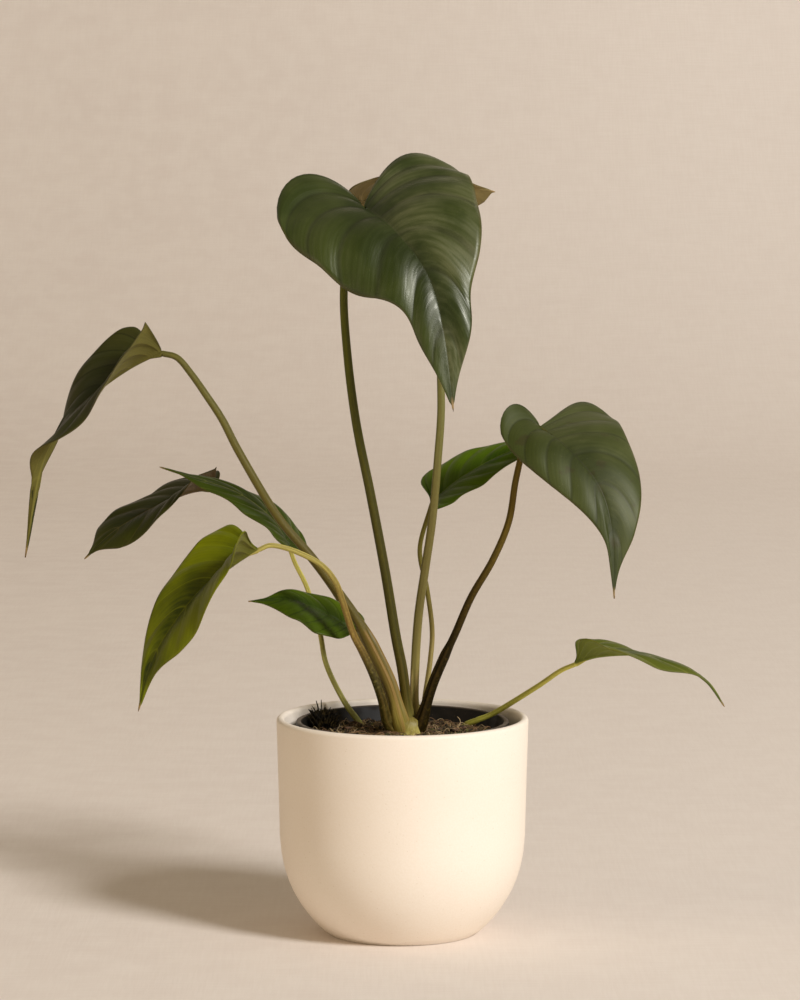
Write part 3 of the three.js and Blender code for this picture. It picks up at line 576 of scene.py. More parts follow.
LEAVES = [
    new_leaf(
        stalk=[(4, 2.5, 115.5), (3.2, 2.5, 124), (0, 1.5, 150), (-4, 1, 171), (-10, 0, 208), (-18, -2, 251),
               (-26, -2, 291), (-31, -2, 330), (-33, -2, 367), (-29, -1, 398), (-22, 0, 413)],
        girth=[(0, 2.9), (0.2, 3), (0.6, 2.5), (1, 2)],
        midrib=[(-22, 0, 413), (-5, -26, 402), (14, -44, 377), (23, -54, 345), (28, -60, 303)],
        faces=[(-0.05, -0.35, 0.93), (0.05, -0.8, 0.6), (0.1, -0.93, 0.3), (0.1, -0.97, 0.2)],
        left=half(width=0.37, lobe=0.28, lobe_curl=20, gap=-0.25, back=0.95, shoulder=0.86, belly=0.46,
                  waist=0.6, fold=(12, 5, 0), curl=(-37, -50, -20), pinch=(0.62, 0.13, 0.3)),
        right=half(width=0.41, lobe=0.11, lobe_curl=10, gap=0.45, back=1.1, shoulder=1.05, belly=0.28,
                   waist=0.6, fold=(32, 17, 0), curl=(-47, -46, 0), pinch=(0.58, 0.12, 0.3)),
        taper=(0.6, 1, 0.3, 0.965), wave=(1.6, 3.5, 0.1), quilt=1.3, rows=126),
    new_leaf(
        stalk=[(7, 7, 115.5), (6.8, 8, 125), (7, 10.5, 146), (9, 10, 179), (13, 9, 208), (17, 9, 236),
               (20, 11, 269), (22, 17, 303), (19, 27, 342), (5, 37, 382), (-19, 44, 416)],
        girth=[(0, 2.6), (0.3, 2.5), (1, 2)],
        midrib=[(-19, 44, 416), (7, 60, 423), (33, 74, 423), (54, 84, 419)],
        faces=[(0.05, 0.65, 0.75), (0.1, 0.7, 0.7), (0.2, 0.85, 0.4)],
        left=half(width=0.3, lobe=0.18, lobe_curl=20, back=0.75, gap=-0.4, belly=0.2, fold=(5, -8, -20)),
        right=half(width=0.36, lobe=0.3, lobe_curl=20, back=1.1, gap=-0.3, belly=1.7, waist=0.85,
                   fold=(0, 0, 0)),
        taper=(0.6, 1, 0.2, 0.96), wave=(1, 3, 0.3), quilt=0.8),
    new_leaf(
        stalk=[(0, -1.5, 116), (-1.8, -2.8, 124), (-7, -1, 142), (-16, 1, 161), (-25, 3, 178),
               (-33, 4, 190), (-51, 4, 214), (-71, 5, 238), (-92, 8, 273), (-102, 11, 292),
               (-111, 14, 305.5), (-120, 17, 318), (-128, 19, 327), (-137, 20, 331)],
        girth=[(0, 3.2), (0.16, 4.2), (0.25, 4.2), (0.31, 2.8), (1, 1.7)],
        midrib=[(-137, 20, 331), (-156, 20, 321), (-175, 20, 307), (-195, 20, 287), (-207, 22, 262),
                (-216, 25, 212)],
        faces=[(-0.1, -0.05, 1), (-0.3, -0.3, 0.8), (-0.7, 0.15, 0.6), (-0.75, 0.65, 0.2), (-0.5, 0.85, 0)],
        left=half(width=0.165, lobe=-0.18, round=0.6, shoulder=1, belly=0.28, fold=(50, 32, 12, 10, 0),
                  curl=(-10, -10, 0)),
        right=half(width=0.21, lobe=0.02, round=0, shoulder=0.6, belly=0.2, horn=0.06,
                   fold=(55, 25, -15, 60, 90), curl=(-20, -20, 0)),
        taper=(0.5, 0.8, 0.9, 0.9), wave=(1.2, 3, 0), quilt=0.9),
    new_leaf(
        stalk=[(-23, 38, 100), (-23, 37, 111), (-34, 40, 127), (-44, 46, 147), (-48, 51, 166),
               (-55, 54, 190), (-62, 53, 205), (-65, 51, 215)],
        girth=[(0, 2.1), (0.3, 1.6), (1, 1.2)],
        midrib=[(-65, 51, 215), (-76, 52, 232), (-95, 54, 246), (-118, 56, 254), (-141, 58, 261)],
        faces=[(0.4, -0.25, 0.87), (0.1, -0.25, 0.97), (0, -0.25, 0.97)],
        left=half(width=0.2, lobe=0.04, back=0.4, round=0.7, fold=(20, 0, 0)),
        right=half(width=0.19, lobe=-0.1, round=0.4, shoulder=0.7, fold=(20, -5, 0)),
        taper=(0.6, 1, 0.6, 0.96), wave=(0.8, 3, 0.2), quilt=0.6),
    new_leaf(
        stalk=[(-1, 5, 116), (-3, 8, 124), (-14, 26, 150), (-29, 46, 172), (-41, 58, 190), (-56, 72, 208),
               (-72, 84, 223), (-93, 95, 238), (-112, 96, 245)],
        girth=[(0, 2), (0.4, 1.6), (1, 1.3)],
        midrib=[(-112, 96, 245), (-128, 92, 242), (-150, 86, 232), (-170, 80, 220), (-186, 76, 205)],
        faces=[(0, -0.1, 0.99), (-0.2, -0.4, 0.9), (-0.4, -0.7, 0.7)],
        left=half(width=0.29, lobe=0.05, lobe_curl=40, back=0.75, belly=0.95, waist=0.75, fold=(15, 0, 0)),
        right=half(width=0.25, lobe=0.06, round=0, shoulder=0.62, belly=1.15, waist=0.78, horn=0.07,
                   fold=(56, 14, -10)),
        taper=(0.78, 0.95, 0.8, 0.93), wave=(1.2, 3, 0.4), quilt=0.9),
    new_leaf(
        stalk=[(-3, 3, 116), (-6, 5, 123), (-12, 13, 140), (-18, 20, 154), (-24, 28, 164), (-28, 32, 169)],
        girth=[(0, 1.6), (1, 1.2)],
        midrib=[(-28, 32, 169), (-46, 28, 180), (-64, 22, 188), (-88, 15, 188)],
        faces=[(0.1, -0.5, 0.86), (0.05, -0.5, 0.9)],
        left=half(width=0.24, lobe=0, back=0.4, shoulder=1.02, belly=0.6, waist=0.6),
        right=half(width=0.27, lobe=-0.15, shoulder=0.55, belly=1.6, waist=0.7, fold=(8, 8, 5)),
        taper=(0.65, 0.95, 0.6, 0.96), wave=(0.6, 3, 0.1), quilt=0.6),
    new_leaf(
        stalk=[(-5, -2, 116), (-8.7, -4, 122), (-12, -7, 136), (-17, -8, 150), (-23, -9, 163),
               (-28, -10, 173), (-34, -12, 192), (-38, -14, 203), (-46, -17, 213), (-60, -22, 221),
               (-73, -27, 225), (-81, -30, 224)],
        girth=[(0, 2), (0.15, 2.6), (0.5, 1.9), (1, 1.3)],
        midrib=[(-81, -30, 224), (-95, -34, 215), (-113, -40, 201), (-131, -46, 178), (-141, -50, 159),
                (-147, -54, 135)],
        faces=[(-0.4, -0.1, 0.9), (-0.6, -0.4, 0.7), (-0.8, -0.6, 0.35), (-0.85, -0.7, 0.2)],
        left=half(width=0.26, lobe=-0.1, round=0.6, shoulder=0.98, belly=0.45, fold=(38, 17, 0)),
        right=half(width=0.33, lobe=-0.13, round=0.3, belly=0.65, fold=(46, 16, -5)),
        taper=(0.65, 0.95, 0.7, 0.96), wave=(1.2, 3, 0.6), quilt=0.9),
    new_leaf(
        stalk=[(11, 6, 116), (12, 9.5, 125), (13, 13, 134), (16, 20, 154), (17, 25, 171), (14, 29, 194),
               (10, 34, 216), (16, 36, 242)],
        girth=[(0, 1.7), (0.3, 1.5), (1, 1.3)],
        midrib=[(16, 36, 242), (33, 40, 256), (59, 44, 270), (88, 50, 279)],
        faces=[(-0.6, -0.4, 0.7), (-0.2, -0.4, 0.9)],
        left=half(width=0.3, lobe=-0.05, back=0.4, round=0.8, fold=(20, 8, 0)),
        right=half(width=0.32, lobe=-0.2, round=0.5, shoulder=0.8, fold=(18, 8, 0)),
        taper=(0.6, 1, 0.6, 0.96), wave=(0.8, 3, 0.5), quilt=0.8),
    new_leaf(
        stalk=[(8.5, 0, 116), (11, -0.5, 122), (17, -1, 142), (24, -2, 159), (30, -3, 172), (39, -4, 193),
               (51, -5, 214), (60, -6, 236), (64, -6, 260), (69, -5, 279), (77, 0, 289)],
        girth=[(0, 3), (0.3, 2.9), (0.36, 2.2), (1, 1.7)],
        midrib=[(77, 0, 289), (92, -16, 279), (110, -30, 258), (117, -38, 232), (118, -43, 197)],
        faces=[(0.3, -0.5, 0.8), (0.35, -0.86, 0.4), (0.3, -0.93, 0.2), (0.2, -0.97, 0.1)],
        left=half(width=0.245, lobe=0.13, lobe_curl=40, gap=-0.5, back=0.8, shoulder=0.8, belly=0.5,
                  waist=0.6, fold=(10, 10, 0), curl=(-70, -70, -20), pinch=(0.76, 0.15, 0.5)),
        right=half(width=0.355, lobe=0.06, gap=0.55, back=0.7, shoulder=1.2, belly=0.27, waist=0.62,
                   fold=(6, 14, 0), curl=(-9, -50, 0)),
        taper=(0.7, 0.95, 0.5, 0.95), wave=(0.8, 2.5, 0.2), quilt=0.6, rows=126),
    new_leaf(
        stalk=[(33, 29, 100), (35, 28, 113), (43, 24, 118), (53, 20, 123), (76, 4, 140), (89, -8, 151),
               (97, -14, 157)],
        girth=[(0, 1.9), (1, 1.3)],
        midrib=[(97, -14, 157), (112, -14, 161), (135, -18, 162), (156, -22, 157), (171, -26, 148),
                (181, -31, 134)],
        faces=[(-0.3, 0.1, 0.95), (0.1, -0.05, 0.99), (0.3, -0.15, 0.95), (0.5, -0.15, 0.85)],
        left=half(width=0.22, lobe=-0.17, round=0.3, shoulder=0.8, fold=(60, 0, -5)),
        right=half(width=0.22, lobe=-0.17, round=0.5, shoulder=0.85, fold=(52, -12, -5)),
        taper=(0.6, 0.88, 0.85, 0.96), wave=(0.8, 3, 0), quilt=0.6),
]
print("leaves:", len(LEAVES))

# %% [markdown]
# ## Blade
# A blade is a net: lines run out from the midrib along the side veins and cross lines run from base to
# tip. The net is laid flat first, then folded along the midrib, curled across, and carried along the
# midrib's course. Some halves have a horn, a short point that stands out at the lobe, and every blade
# narrows late to a thread at its tip. The flesh between two side veins swells a little. The veins and the
# midrib are pressed in above and stand out below.

# %% Blade outline
SIDE_VEINS = 7
WIDEST = (1.22, 0.16)
LOBE_DROP = 0.4
HORN_REACH = 0.04
TIP_THREAD = 0.85
LEAVE_AT_TIP = (0.3, 0.1)
ARRIVE_AT_TIP = (-0.08, -0.32)


def flat_point(side, taper, t, s):
    w, b = side["width"], side["lobe"]
    lobe_end = np.array([side["shoulder"] * w, -LOBE_DROP * b])
    widest = np.array([WIDEST[0] * w, WIDEST[1]])
    edge = bezier((lobe_end, widest, np.array([side["belly"] * w, side["waist"]]), np.array([0.0, 1.0])), t)
    height = edge[..., 1]
    pinch_at, pinch_reach, pinch_depth = side["pinch"]
    narrowed = 1 - taper[2] * smooth((height - taper[0]) / (taper[1] - taper[0]))
    narrowed = narrowed * (1 - pinch_depth * hump(height - pinch_at, pinch_reach))
    narrowed = narrowed * (1 - TIP_THREAD * smooth(2 * (height - taper[3]) / (1 - taper[3])))
    edge = edge * np.stack([narrowed, np.ones_like(narrowed)], -1)
    edge = edge + np.stack([side["horn"] * np.exp(-t / HORN_REACH), 0 * t], -1)
    root = np.stack([0 * t, t**2.4], -1)
    length = np.linalg.norm(edge - root, axis=-1, keepdims=True)
    towards_tip = (1 - (1 - t) ** 2.2)[..., None]

    def handle(at_lobe, at_tip):
        at_lobe = at_lobe / np.linalg.norm(lobe_end)
        return length * ((1 - towards_tip) * at_lobe + towards_tip * np.array(at_tip))

    leave = handle(np.array([side["gap"] * w, -side["back"] * b]), LEAVE_AT_TIP)
    arrive = handle((lobe_end - widest) * side["round"], ARRIVE_AT_TIP)
    return bezier((root, root + leave, edge + arrive, edge), s)


print("a half's widest point in shares of its length:", WIDEST)

# %% Blade in space
COURSE_STEPS = 81
STRAIGHT = 0.01
RIGHT_WAVE_SHIFT = 0.35


def blade_middle(leaf, t, s, is_left):
    side = leaf["left" if is_left else "right"]
    shares = np.linspace(0, 1, COURSE_STEPS)
    run = run_along(course(leaf["midrib"], shares))
    length = run[-1]
    flat = flat_point(side, leaf["taper"], t, s)
    x, y = flat[..., 0] * length, flat[..., 1]
    at = np.interp(np.clip(y, 0, 1) * length, run, shares)
    ahead, before = (course(leaf["midrib"], np.clip(at + step, 0, 1)) for step in (1e-3, -1e-3))
    tangent = unit(ahead - before)
    up = course(unit(np.array(leaf["faces"], float)), np.clip(y, 0, 1))
    up = unit(up - (up * tangent).sum(-1, keepdims=True) * tangent)
    across = np.cross(tangent, up) * (1 if is_left else -1)
    behind = np.maximum(-y, 0) * length
    lobe_length = (0.63 * max(side["lobe"], 0) + 0.06) * length
    lobe_rate = math.radians(side["lobe_curl"] or STRAIGHT) / lobe_length
    fold = np.radians(course(side["fold"], y))
    curl = course(side["curl"], y)
    reach = max(leaf["left"]["width"], leaf["right"]["width"]) * length
    bend = np.radians(np.where(curl == 0, STRAIGHT, curl)) / reach
    out = (np.sin(fold + bend * x) - np.sin(fold)) / bend
    lift = (np.cos(fold) - np.cos(fold + bend * x)) / bend
    height, count, phase = leaf["wave"]
    turn = 2 * math.pi * (count * t + phase + (0 if is_left else RIGHT_WAVE_SHIFT))
    lift = lift + height * s * s * np.sin(turn) * np.sqrt(np.maximum(np.sin(math.pi * t), 0))
    swell = np.abs(np.sin(math.pi * SIDE_VEINS * t)) ** 1.6 * (3.6 * s * (1 - s) + 0.2 * s)
    swell = swell * smooth(4 * (1 - t))
    back = np.sin(lobe_rate * behind) / lobe_rate
    rise = (1 - np.cos(lobe_rate * behind)) / lobe_rate + lift + leaf["quilt"] * swell
    middle = course(leaf["midrib"], at)
    return middle - tangent * back[..., None] + up * rise[..., None] + across * out[..., None]


print("a midrib is measured in", COURSE_STEPS - 1, "steps")

# %% Blade mesh
BLADE_THICKNESS = 0.8
MARGIN_THICKNESS = 0.45
MIDRIB_DEPTH = 1.1
MIDRIB_GROOVE = 0.35
MIDRIB_WIDTH = 0.035
VEIN_GROOVE = 0.22
VEIN_RIDGE = 0.28
VEIN_WIDTH = 0.09
COLUMNS = 20


def blade_net(leaf):
    rows = leaf["rows"]
    t = np.linspace(0, 1, rows + 1)[:, None] * np.ones((1, COLUMNS + 1))
    s = (np.linspace(0, 1, COLUMNS + 1) ** 1.25)[None, :] * np.ones((rows + 1, 1))
    left, right = (blade_middle(leaf, t, s, is_left) for is_left in (True, False))
    return [np.concatenate([a[:, :0:-1], b], axis=1) for a, b in ((left, right), (t, t), (s, s))]


def blade_faces(rows, width):
    grid = np.arange(rows * width).reshape(rows, width).tolist()
    tip = rows * width
    sheet = [(grid[i][j], grid[i + 1][j], grid[i + 1][j + 1], grid[i][j + 1])
             for i in range(rows - 1) for j in range(width - 1)]
    return sheet + [(grid[-1][j], tip, grid[-1][j + 1]) for j in range(width - 1)]


def make_blade(name, leaf, upper_finish, under_finish):
    middle, t, s = blade_net(leaf)
    rows, width = middle.shape[0] - 1, middle.shape[1]
    normal = unit(np.cross(-np.gradient(middle, axis=1), np.gradient(middle, axis=0)))
    normal[-1] = unit(normal[-2].mean(0))
    vein = hump((t * SIDE_VEINS + 0.5) % 1 - 0.5, VEIN_WIDTH) * smooth(5 * (1 - t)) * smooth(8 * t)
    vein = vein * smooth(s / 0.1) * (1 - smooth((s - 0.75) / 0.25))
    rib = hump(s, MIDRIB_WIDTH) * np.sqrt(1 - t)
    flesh = np.interp(s, [0, 0.85, 1], [BLADE_THICKNESS, BLADE_THICKNESS, MARGIN_THICKNESS]) / 2
    above = middle + normal * (flesh - VEIN_GROOVE * vein - MIDRIB_GROOVE * rib)[..., None]
    below = middle - normal * (flesh + VEIN_RIDGE * vein + MIDRIB_DEPTH * rib)[..., None]

    def flatten(values):
        """One row after another, with the last row, the tip, as a single point."""
        return np.concatenate([values[:-1].reshape(-1, *values.shape[2:]), values[-1:, width // 2]])

    sheet = blade_faces(rows, width)
    count = rows * width + 1
    edges = {(a, b) for face in sheet for a, b in zip(face, face[1:] + face[:1])}
    margin = [(a, b) for a, b in edges if (b, a) not in edges]
    faces = sheet + [tuple(k + count for k in reversed(face)) for face in sheet]
    faces += [(b, a, a + count, b + count) for a, b in sorted(margin)]
    is_under = [0] * len(sheet) + [1] * len(sheet) + [0] * len(margin)
    points = np.concatenate([flatten(above), flatten(below)])
    is_right = np.ones((rows + 1, 1)) * (np.arange(width) >= width // 2)
    numbers = {"net_t": t, "net_s": s, "right": is_right}
    numbers = {label: np.tile(flatten(values), 2) for label, values in numbers.items()}
    return make_object(name, points, faces, [upper_finish, under_finish], is_under, numbers)


print("points in the largest blade:", 2 * LEAVES[0]["rows"] * (2 * COLUMNS + 1) + 2)

# %% [markdown]
# ## Leaf finishes
# A homalomena leaf is satin above and paler and duller below. Its veins are pressed in, and their lines
# carry a colour of their own. Where that colour is darker than a leaf's greens, on leaves 1, 3, 6 and 9,
# it is painted shade in the crease, and the fine veins are painted a little darker as crease shade too.
# The margin is a thin pale line and the tip dries to tan. One node group turns the net's numbers into
# masks for these lines. Each leaf then mixes its own greens: the old front leaf is deep and shiny, the
# young low ones are yellower. Each blade is painted deeper near the midrib, painted shade of its fold, and
# lighter towards the margin, painted light. Two broad leaves, the top front one and the right one, also
# have a thin grey veil in patches, mostly on the right half: partly a bloom, partly a painted sheen.

# %% Vein lines group
FINE_VEINS = 6
GRAIN_STRETCH = {"net_t": 70, "net_s": 2.5, "right": 9}

vein_masks = ["Side", "Fine", "Midrib", "Margin", "Tip", "Grain"]
vein_lines, inlet, outlet = new_group("vein_lines", {"Side Veins": SIDE_VEINS, "Width": 0.07}, vein_masks)
t, s = number(vein_lines, "net_t"), number(vein_lines, "net_s")
ribs = times(vein_lines, t, inlet["Side Veins"])
main = sums(vein_lines, "PINGPONG", ribs, 0.5)
fine = sums(vein_lines, "PINGPONG", times(vein_lines, ribs, FINE_VEINS), 0.5)
grain_place = [times(vein_lines, number(vein_lines, label), by) for label, by in GRAIN_STRETCH.items()]
cloud = cloudy(vein_lines, joined(vein_lines, *grain_place), detail=3)
lines = {
    "Side": (main, inlet["Width"], 0.0), "Fine": (fine, 0.3, 0.0), "Midrib": (s, 0.026, 0.008),
    "Margin": (s, 0.965, 0.99), "Tip": (t, 0.972, 0.992), "Grain": (cloud, 0.32, 0.68),
}
for label, (value, low, high) in lines.items():
    feed(vein_lines, outlet[label], ramped(vein_lines, value, low, high))
print("vein masks:", vein_masks)

# %% Colours of the leaves
def leaf_look(**own):
    usual = {"vein_width": 0.045, "rough": (0.4, 0.52), "gloss": 0.18, "dust": 0.1, "smudge": 0,
             "bloom": 0, "relief": 0.5}
    return {**usual, **own}


LEAF_LOOKS = [
    leaf_look(deep=(26, 38, 2), light=(48, 60, 6), under=(96, 90, 40), vein=(18, 25, 2), rib=(30, 38, 5),
              vein_width=0.14, rough=(0.33, 0.45), gloss=0.5, dust=0.12, bloom=0.5, relief=0.6),
    leaf_look(deep=(70, 64, 28), light=(98, 88, 44), under=(138, 122, 76), vein=(112, 100, 60),
              rib=(120, 108, 60), vein_width=0.06, rough=(0.45, 0.6), gloss=0.2),
    leaf_look(deep=(30, 38, 6), light=(56, 56, 18), under=(104, 98, 44), vein=(20, 24, 4), rib=(64, 58, 24),
              vein_width=0.1, gloss=0.22, smudge=0.2),
    leaf_look(deep=(40, 54, 4), light=(62, 76, 6), under=(96, 96, 30), vein=(104, 112, 44),
              rib=(116, 118, 50)),
    leaf_look(deep=(28, 34, 4), light=(52, 54, 10), under=(92, 76, 46), vein=(80, 72, 34), rib=(92, 80, 42),
              smudge=0.3),
    leaf_look(deep=(34, 52, 0), light=(72, 90, 0), under=(96, 96, 22), vein=(20, 34, 0), rib=(56, 70, 10),
              vein_width=0.08, rough=(0.42, 0.54), gloss=0.15),
    leaf_look(deep=(30, 42, 0), light=(112, 118, 0), under=(108, 108, 40), vein=(122, 128, 22),
              rib=(112, 116, 24), rough=(0.38, 0.5)),
    leaf_look(deep=(30, 52, 0), light=(80, 104, 2), under=(98, 100, 26), vein=(84, 100, 24),
              rib=(92, 106, 30), dust=0.15),
    leaf_look(deep=(42, 50, 14), light=(62, 70, 24), under=(96, 92, 44), vein=(34, 40, 14),
              rib=(40, 44, 18), vein_width=0.12, rough=(0.5, 0.54), gloss=0.36, dust=0.3, smudge=0.4,
              bloom=0.26, relief=0.3),
    leaf_look(deep=(62, 76, 20), light=(98, 102, 32), under=(108, 118, 40), vein=(150, 150, 74),
              rib=(160, 158, 80), rough=(0.4, 0.54)),
]
MARGIN_COLOUR = (112, 96, 50)
DRY_TIP_COLOUR = (150, 124, 80)
SMUDGE_COLOUR = (48, 34, 16)
DUST_COLOUR = (168, 158, 130)
BLOOM_AND_SHEEN_COLOUR = (112, 112, 78)
print("leaf looks:", len(LEAF_LOOKS))

# %% Leaf finishes
def leaf_upper(name, look):
    material, tree, shader = new_material(
        name, Specular_IOR_Level=look["gloss"], Specular_Tint=(1, 0.98, 0.86, 1))
    lines = use_group(tree, vein_lines, Width=look["vein_width"])
    patches = masked(tree, mottle, Scale=30, Low=0.36, High=0.66)
    pores = masked(tree, mottle, Scale=1500, Low=0.35, High=0.65)
    dust = masked(tree, specks, Scale=520, Size=0.1)
    smudge = masked(tree, mottle, Scale=95, Low=0.6, High=0.72)
    # Painted shade and light: deeper green near the midrib, the shade of the fold, and lighter towards the
    # margin. The patches mixed in are the leaf's own mottle.
    painted_light_to_margin = ramped(tree, number(tree, "net_s"), 0.05, 0.9)
    mottle_and_painted_light = sums(tree, "MULTIPLY_ADD", patches, 0.45, times(tree, painted_light_to_margin, 0.55))
    # A grey veil in patches, three times as strong on the right half: partly a bloom, partly a painted
    # sheen where the light falls.
    bloom = times(tree, patches, sums(tree, "MULTIPLY_ADD", lines["Grain"], 0.5, 0.4))
    bloom = times(tree, bloom, sums(tree, "MULTIPLY_ADD", number(tree, "right"), 0.75, 0.25))
    painted(tree, shader, look["deep"],
            (mottle_and_painted_light, 1, look["light"]),
            (lines["Grain"], 0.25, look["light"]),
            # The fine veins' darker colour is painted crease shade. So is the side veins' colour where it
            # is darker than the greens, on leaves 1, 3, 6 and 9; elsewhere it is the veins' own paler
            # colour.
            (lines["Fine"], 0.1, shade(look["deep"], 0.7)),
            (lines["Side"], 0.5, look["vein"]),
            (lines["Midrib"], 0.6, look["rib"]),
            (smudge, look["smudge"], SMUDGE_COLOUR),
            (dust, look["dust"], DUST_COLOUR),
            (bloom, look["bloom"], BLOOM_AND_SHEEN_COLOUR),
            (lines["Margin"], 0.22, MARGIN_COLOUR),
            (lines["Tip"], 1, DRY_TIP_COLOUR))
    roughened(tree, shader, lines["Grain"], *look["rough"])
    relief = sums(tree, "MULTIPLY_ADD", pores, 0.2, times(tree, lines["Grain"], 0.5))
    relief = sums(tree, "SUBTRACT", relief, times(tree, lines["Fine"], 0.25))
    bumped(tree, shader, relief, 0.12, look["relief"])
    return material


def leaf_under(name, look):
    material, tree, shader = new_material(name, Specular_IOR_Level=0.2, Specular_Tint=(1, 0.96, 0.72, 1))
    lines = use_group(tree, vein_lines, Width=0.05)
    patches = masked(tree, mottle, Scale=45, Low=0.35, High=0.65)
    under = look["under"]
    painted(tree, shader, shade(under, 0.88),
            (patches, 1, under),
            (lines["Grain"], 0.25, shade(under, 0.8)),
            (lines["Side"], 0.4, shade(under, 1.15)),
            (lines["Midrib"], 0.6, shade(under, 1.2)),
            (lines["Tip"], 1, DRY_TIP_COLOUR))
    roughened(tree, shader, patches, 0.5, 0.62)
    bumped(tree, shader, sums(tree, "ADD", lines["Grain"], lines["Fine"]), 0.08, 0.5)
    return material


for place, (leaf, look) in enumerate(zip(LEAVES, LEAF_LOOKS), 1):
    finishes = leaf_upper(f"leaf_{place:02d}_upper", look), leaf_under(f"leaf_{place:02d}_under", look)
    dress(make_blade(f"leaf_{place:02d}", leaf, *finishes), "leaf", f"blade_{place:02d}")

# %% [markdown]
# ## Stalks
# A stalk is a long tapering tube, a little flatter than wide, with a shallow channel on the side that
# faces the plant's middle. Near the soil the old stalks widen into a sheath: its two thin edges run up
# beside the channel and end in a small step, and the foot flares where it clasps the crown. The tube's
# rings follow the same route as the solid's. At the top a short tail runs on under the midrib and thins
# out there, so that the stalk passes into the blade. A stalk's base is pale where the next sheath has kept
# it from the light.

# %% Colours of the stalks
def stalk_look(foot, **own):
    usual = {"channel": -2.2, "sheath": 0, "flare": 0.4, "gloss": 0.25, "rise": (0.06, 0.34), "base": foot}
    return {"foot": foot, **usual, **own}


STALKS = [
    stalk_look((90, 78, 20), sheath=0.24, flare=0.5, middle=(72, 66, 16), top=(88, 90, 14),
               streak=(36, 34, 8), edge=(84, 70, 24), base=(168, 156, 72)),
    stalk_look((188, 172, 94), channel=-1.4, sheath=0.2, flare=0.5, middle=(106, 96, 50),
               top=(108, 108, 54), streak=(106, 94, 48), edge=(172, 146, 90), base=(184, 174, 84)),
    stalk_look((140, 118, 54), channel=-2.4, sheath=0.27, flare=0.5, middle=(94, 82, 28), top=(104, 98, 44),
               streak=(60, 54, 18), edge=(146, 112, 60), base=(164, 148, 68)),
    stalk_look((92, 98, 30), channel=-1.9, flare=0, middle=(170, 164, 88), top=(206, 194, 96),
               streak=(104, 96, 38), edge=(170, 160, 80)),
    stalk_look((116, 96, 46), middle=(84, 74, 28), top=(104, 98, 34), streak=(60, 50, 22),
               edge=(104, 90, 44)),
    stalk_look((96, 82, 36), middle=(84, 72, 32), top=(104, 92, 44), streak=(60, 50, 22),
               edge=(100, 86, 40)),
    stalk_look((58, 52, 10), sheath=0.2, flare=0.5, middle=(138, 110, 50), top=(182, 168, 88),
               streak=(66, 50, 18), edge=(92, 72, 28), rise=(0.24, 0.46)),
    stalk_look((132, 108, 56), channel=-1.0, middle=(150, 132, 74), top=(112, 104, 36),
               streak=(96, 80, 38), edge=(150, 132, 74)),
    stalk_look((32, 24, 4), channel=-0.8, sheath=0.32, flare=0.5, middle=(60, 46, 12), top=(112, 92, 34),
               streak=(24, 16, 4), edge=(60, 44, 16), rise=(0.3, 0.5), gloss=0.12),
    stalk_look((104, 106, 32), channel=-0.8, flare=0, middle=(178, 174, 72), top=(206, 200, 96),
               streak=(116, 104, 40), edge=(190, 174, 84)),
]
print("stalk looks:", len(STALKS))

# %% Stalk mesh
STALK_DEPTH_SHARE = 0.88
RING = 24
STEPS_A_STRETCH = 14
FLARE_MM = 20
TAIL_MM = np.array([1.5, 3.5, 6, 9])
TAIL_GIRTH = np.array([0.9, 0.7, 0.45, 0.2])


def stalk_route(leaf, flare):
    """The middles of the rings, their shares of the route and their half-widths, the tail's last."""
    top_girth = leaf["girth"][-1][1]
    share = np.linspace(0, 1, STEPS_A_STRETCH * (len(leaf["stalk"]) - 1) + 1)
    route = np.array(leaf["stalk"], float)
    facing, last_step = unit(np.array(leaf["faces"][0], float)), unit(route[-1] - route[-2])
    route[-1] -= facing * top_girth * math.sqrt(1 - min(1, last_step @ facing) ** 2)
    centre = course(route, share)
    flared = 1 + flare * (1 - smooth(run_along(centre) / FLARE_MM))
    width = np.interp(share, *zip(*leaf["girth"])) * flared
    midrib = np.array(leaf["midrib"], float)
    step = np.linalg.norm(midrib[1] - midrib[0]) * (len(midrib) - 1)
    tail_width = top_girth * TAIL_GIRTH
    under = facing * (BLADE_THICKNESS / 2 + STALK_DEPTH_SHARE * tail_width)[:, None]
    centre = np.concatenate([centre, course(midrib, TAIL_MM / step) - under])
    return centre, np.concatenate([share, np.ones(len(TAIL_MM))]), np.concatenate([width, tail_width])


def make_stalk(name, leaf, look, finish):
    centre, share, width = stalk_route(leaf, look["flare"])
    along = unit(np.gradient(centre, axis=0))
    across = unit(np.cross(along, (0.0, 1.0, 0.0)))
    deep = np.cross(across, along)
    angle = np.linspace(-math.pi, math.pi, RING, endpoint=False)[None, :]
    away = np.abs((angle - look["channel"] + math.pi) % (2 * math.pi) - math.pi)
    wing = 1 - smooth((share - look["sheath"]) / 0.02) if look["sheath"] else 0 * share
    wing = wing[:, None]
    groove = 0.1 * hump(away, 0.35) + 0.22 * wing * hump(away, 0.3)
    ridge = 0.1 * wing * hump(away - 0.55, 0.16)
    radius = width[:, None] * (1 - groove + ridge)
    points = centre[:, None] + across[:, None] * (radius * np.cos(angle))[..., None]
    points = points + deep[:, None] * (radius * STALK_DEPTH_SHARE * np.sin(angle))[..., None]
    points = np.concatenate([points.reshape(-1, 3), centre[:1], centre[-1:]])
    every_ring = np.ones((len(centre), 1))
    numbers = {
        "along": (share[:, None] * np.ones((1, RING)), [0, 1]),
        "around": (every_ring * (angle + math.pi) / (2 * math.pi), [0, 0]),
        "channel": (every_ring * hump(away, 0.3), [0, 0]),
        "edge": (wing * hump(away - 0.6, 0.25), [0, 0]),
    }
    numbers = {label: np.concatenate([values.ravel(), ends]) for label, (values, ends) in numbers.items()}
    return make_object(name, points, capped_faces(len(centre), RING), [finish], None, numbers)


print("rings of the first stalk:", len(stalk_route(LEAVES[0], 0)[0]))

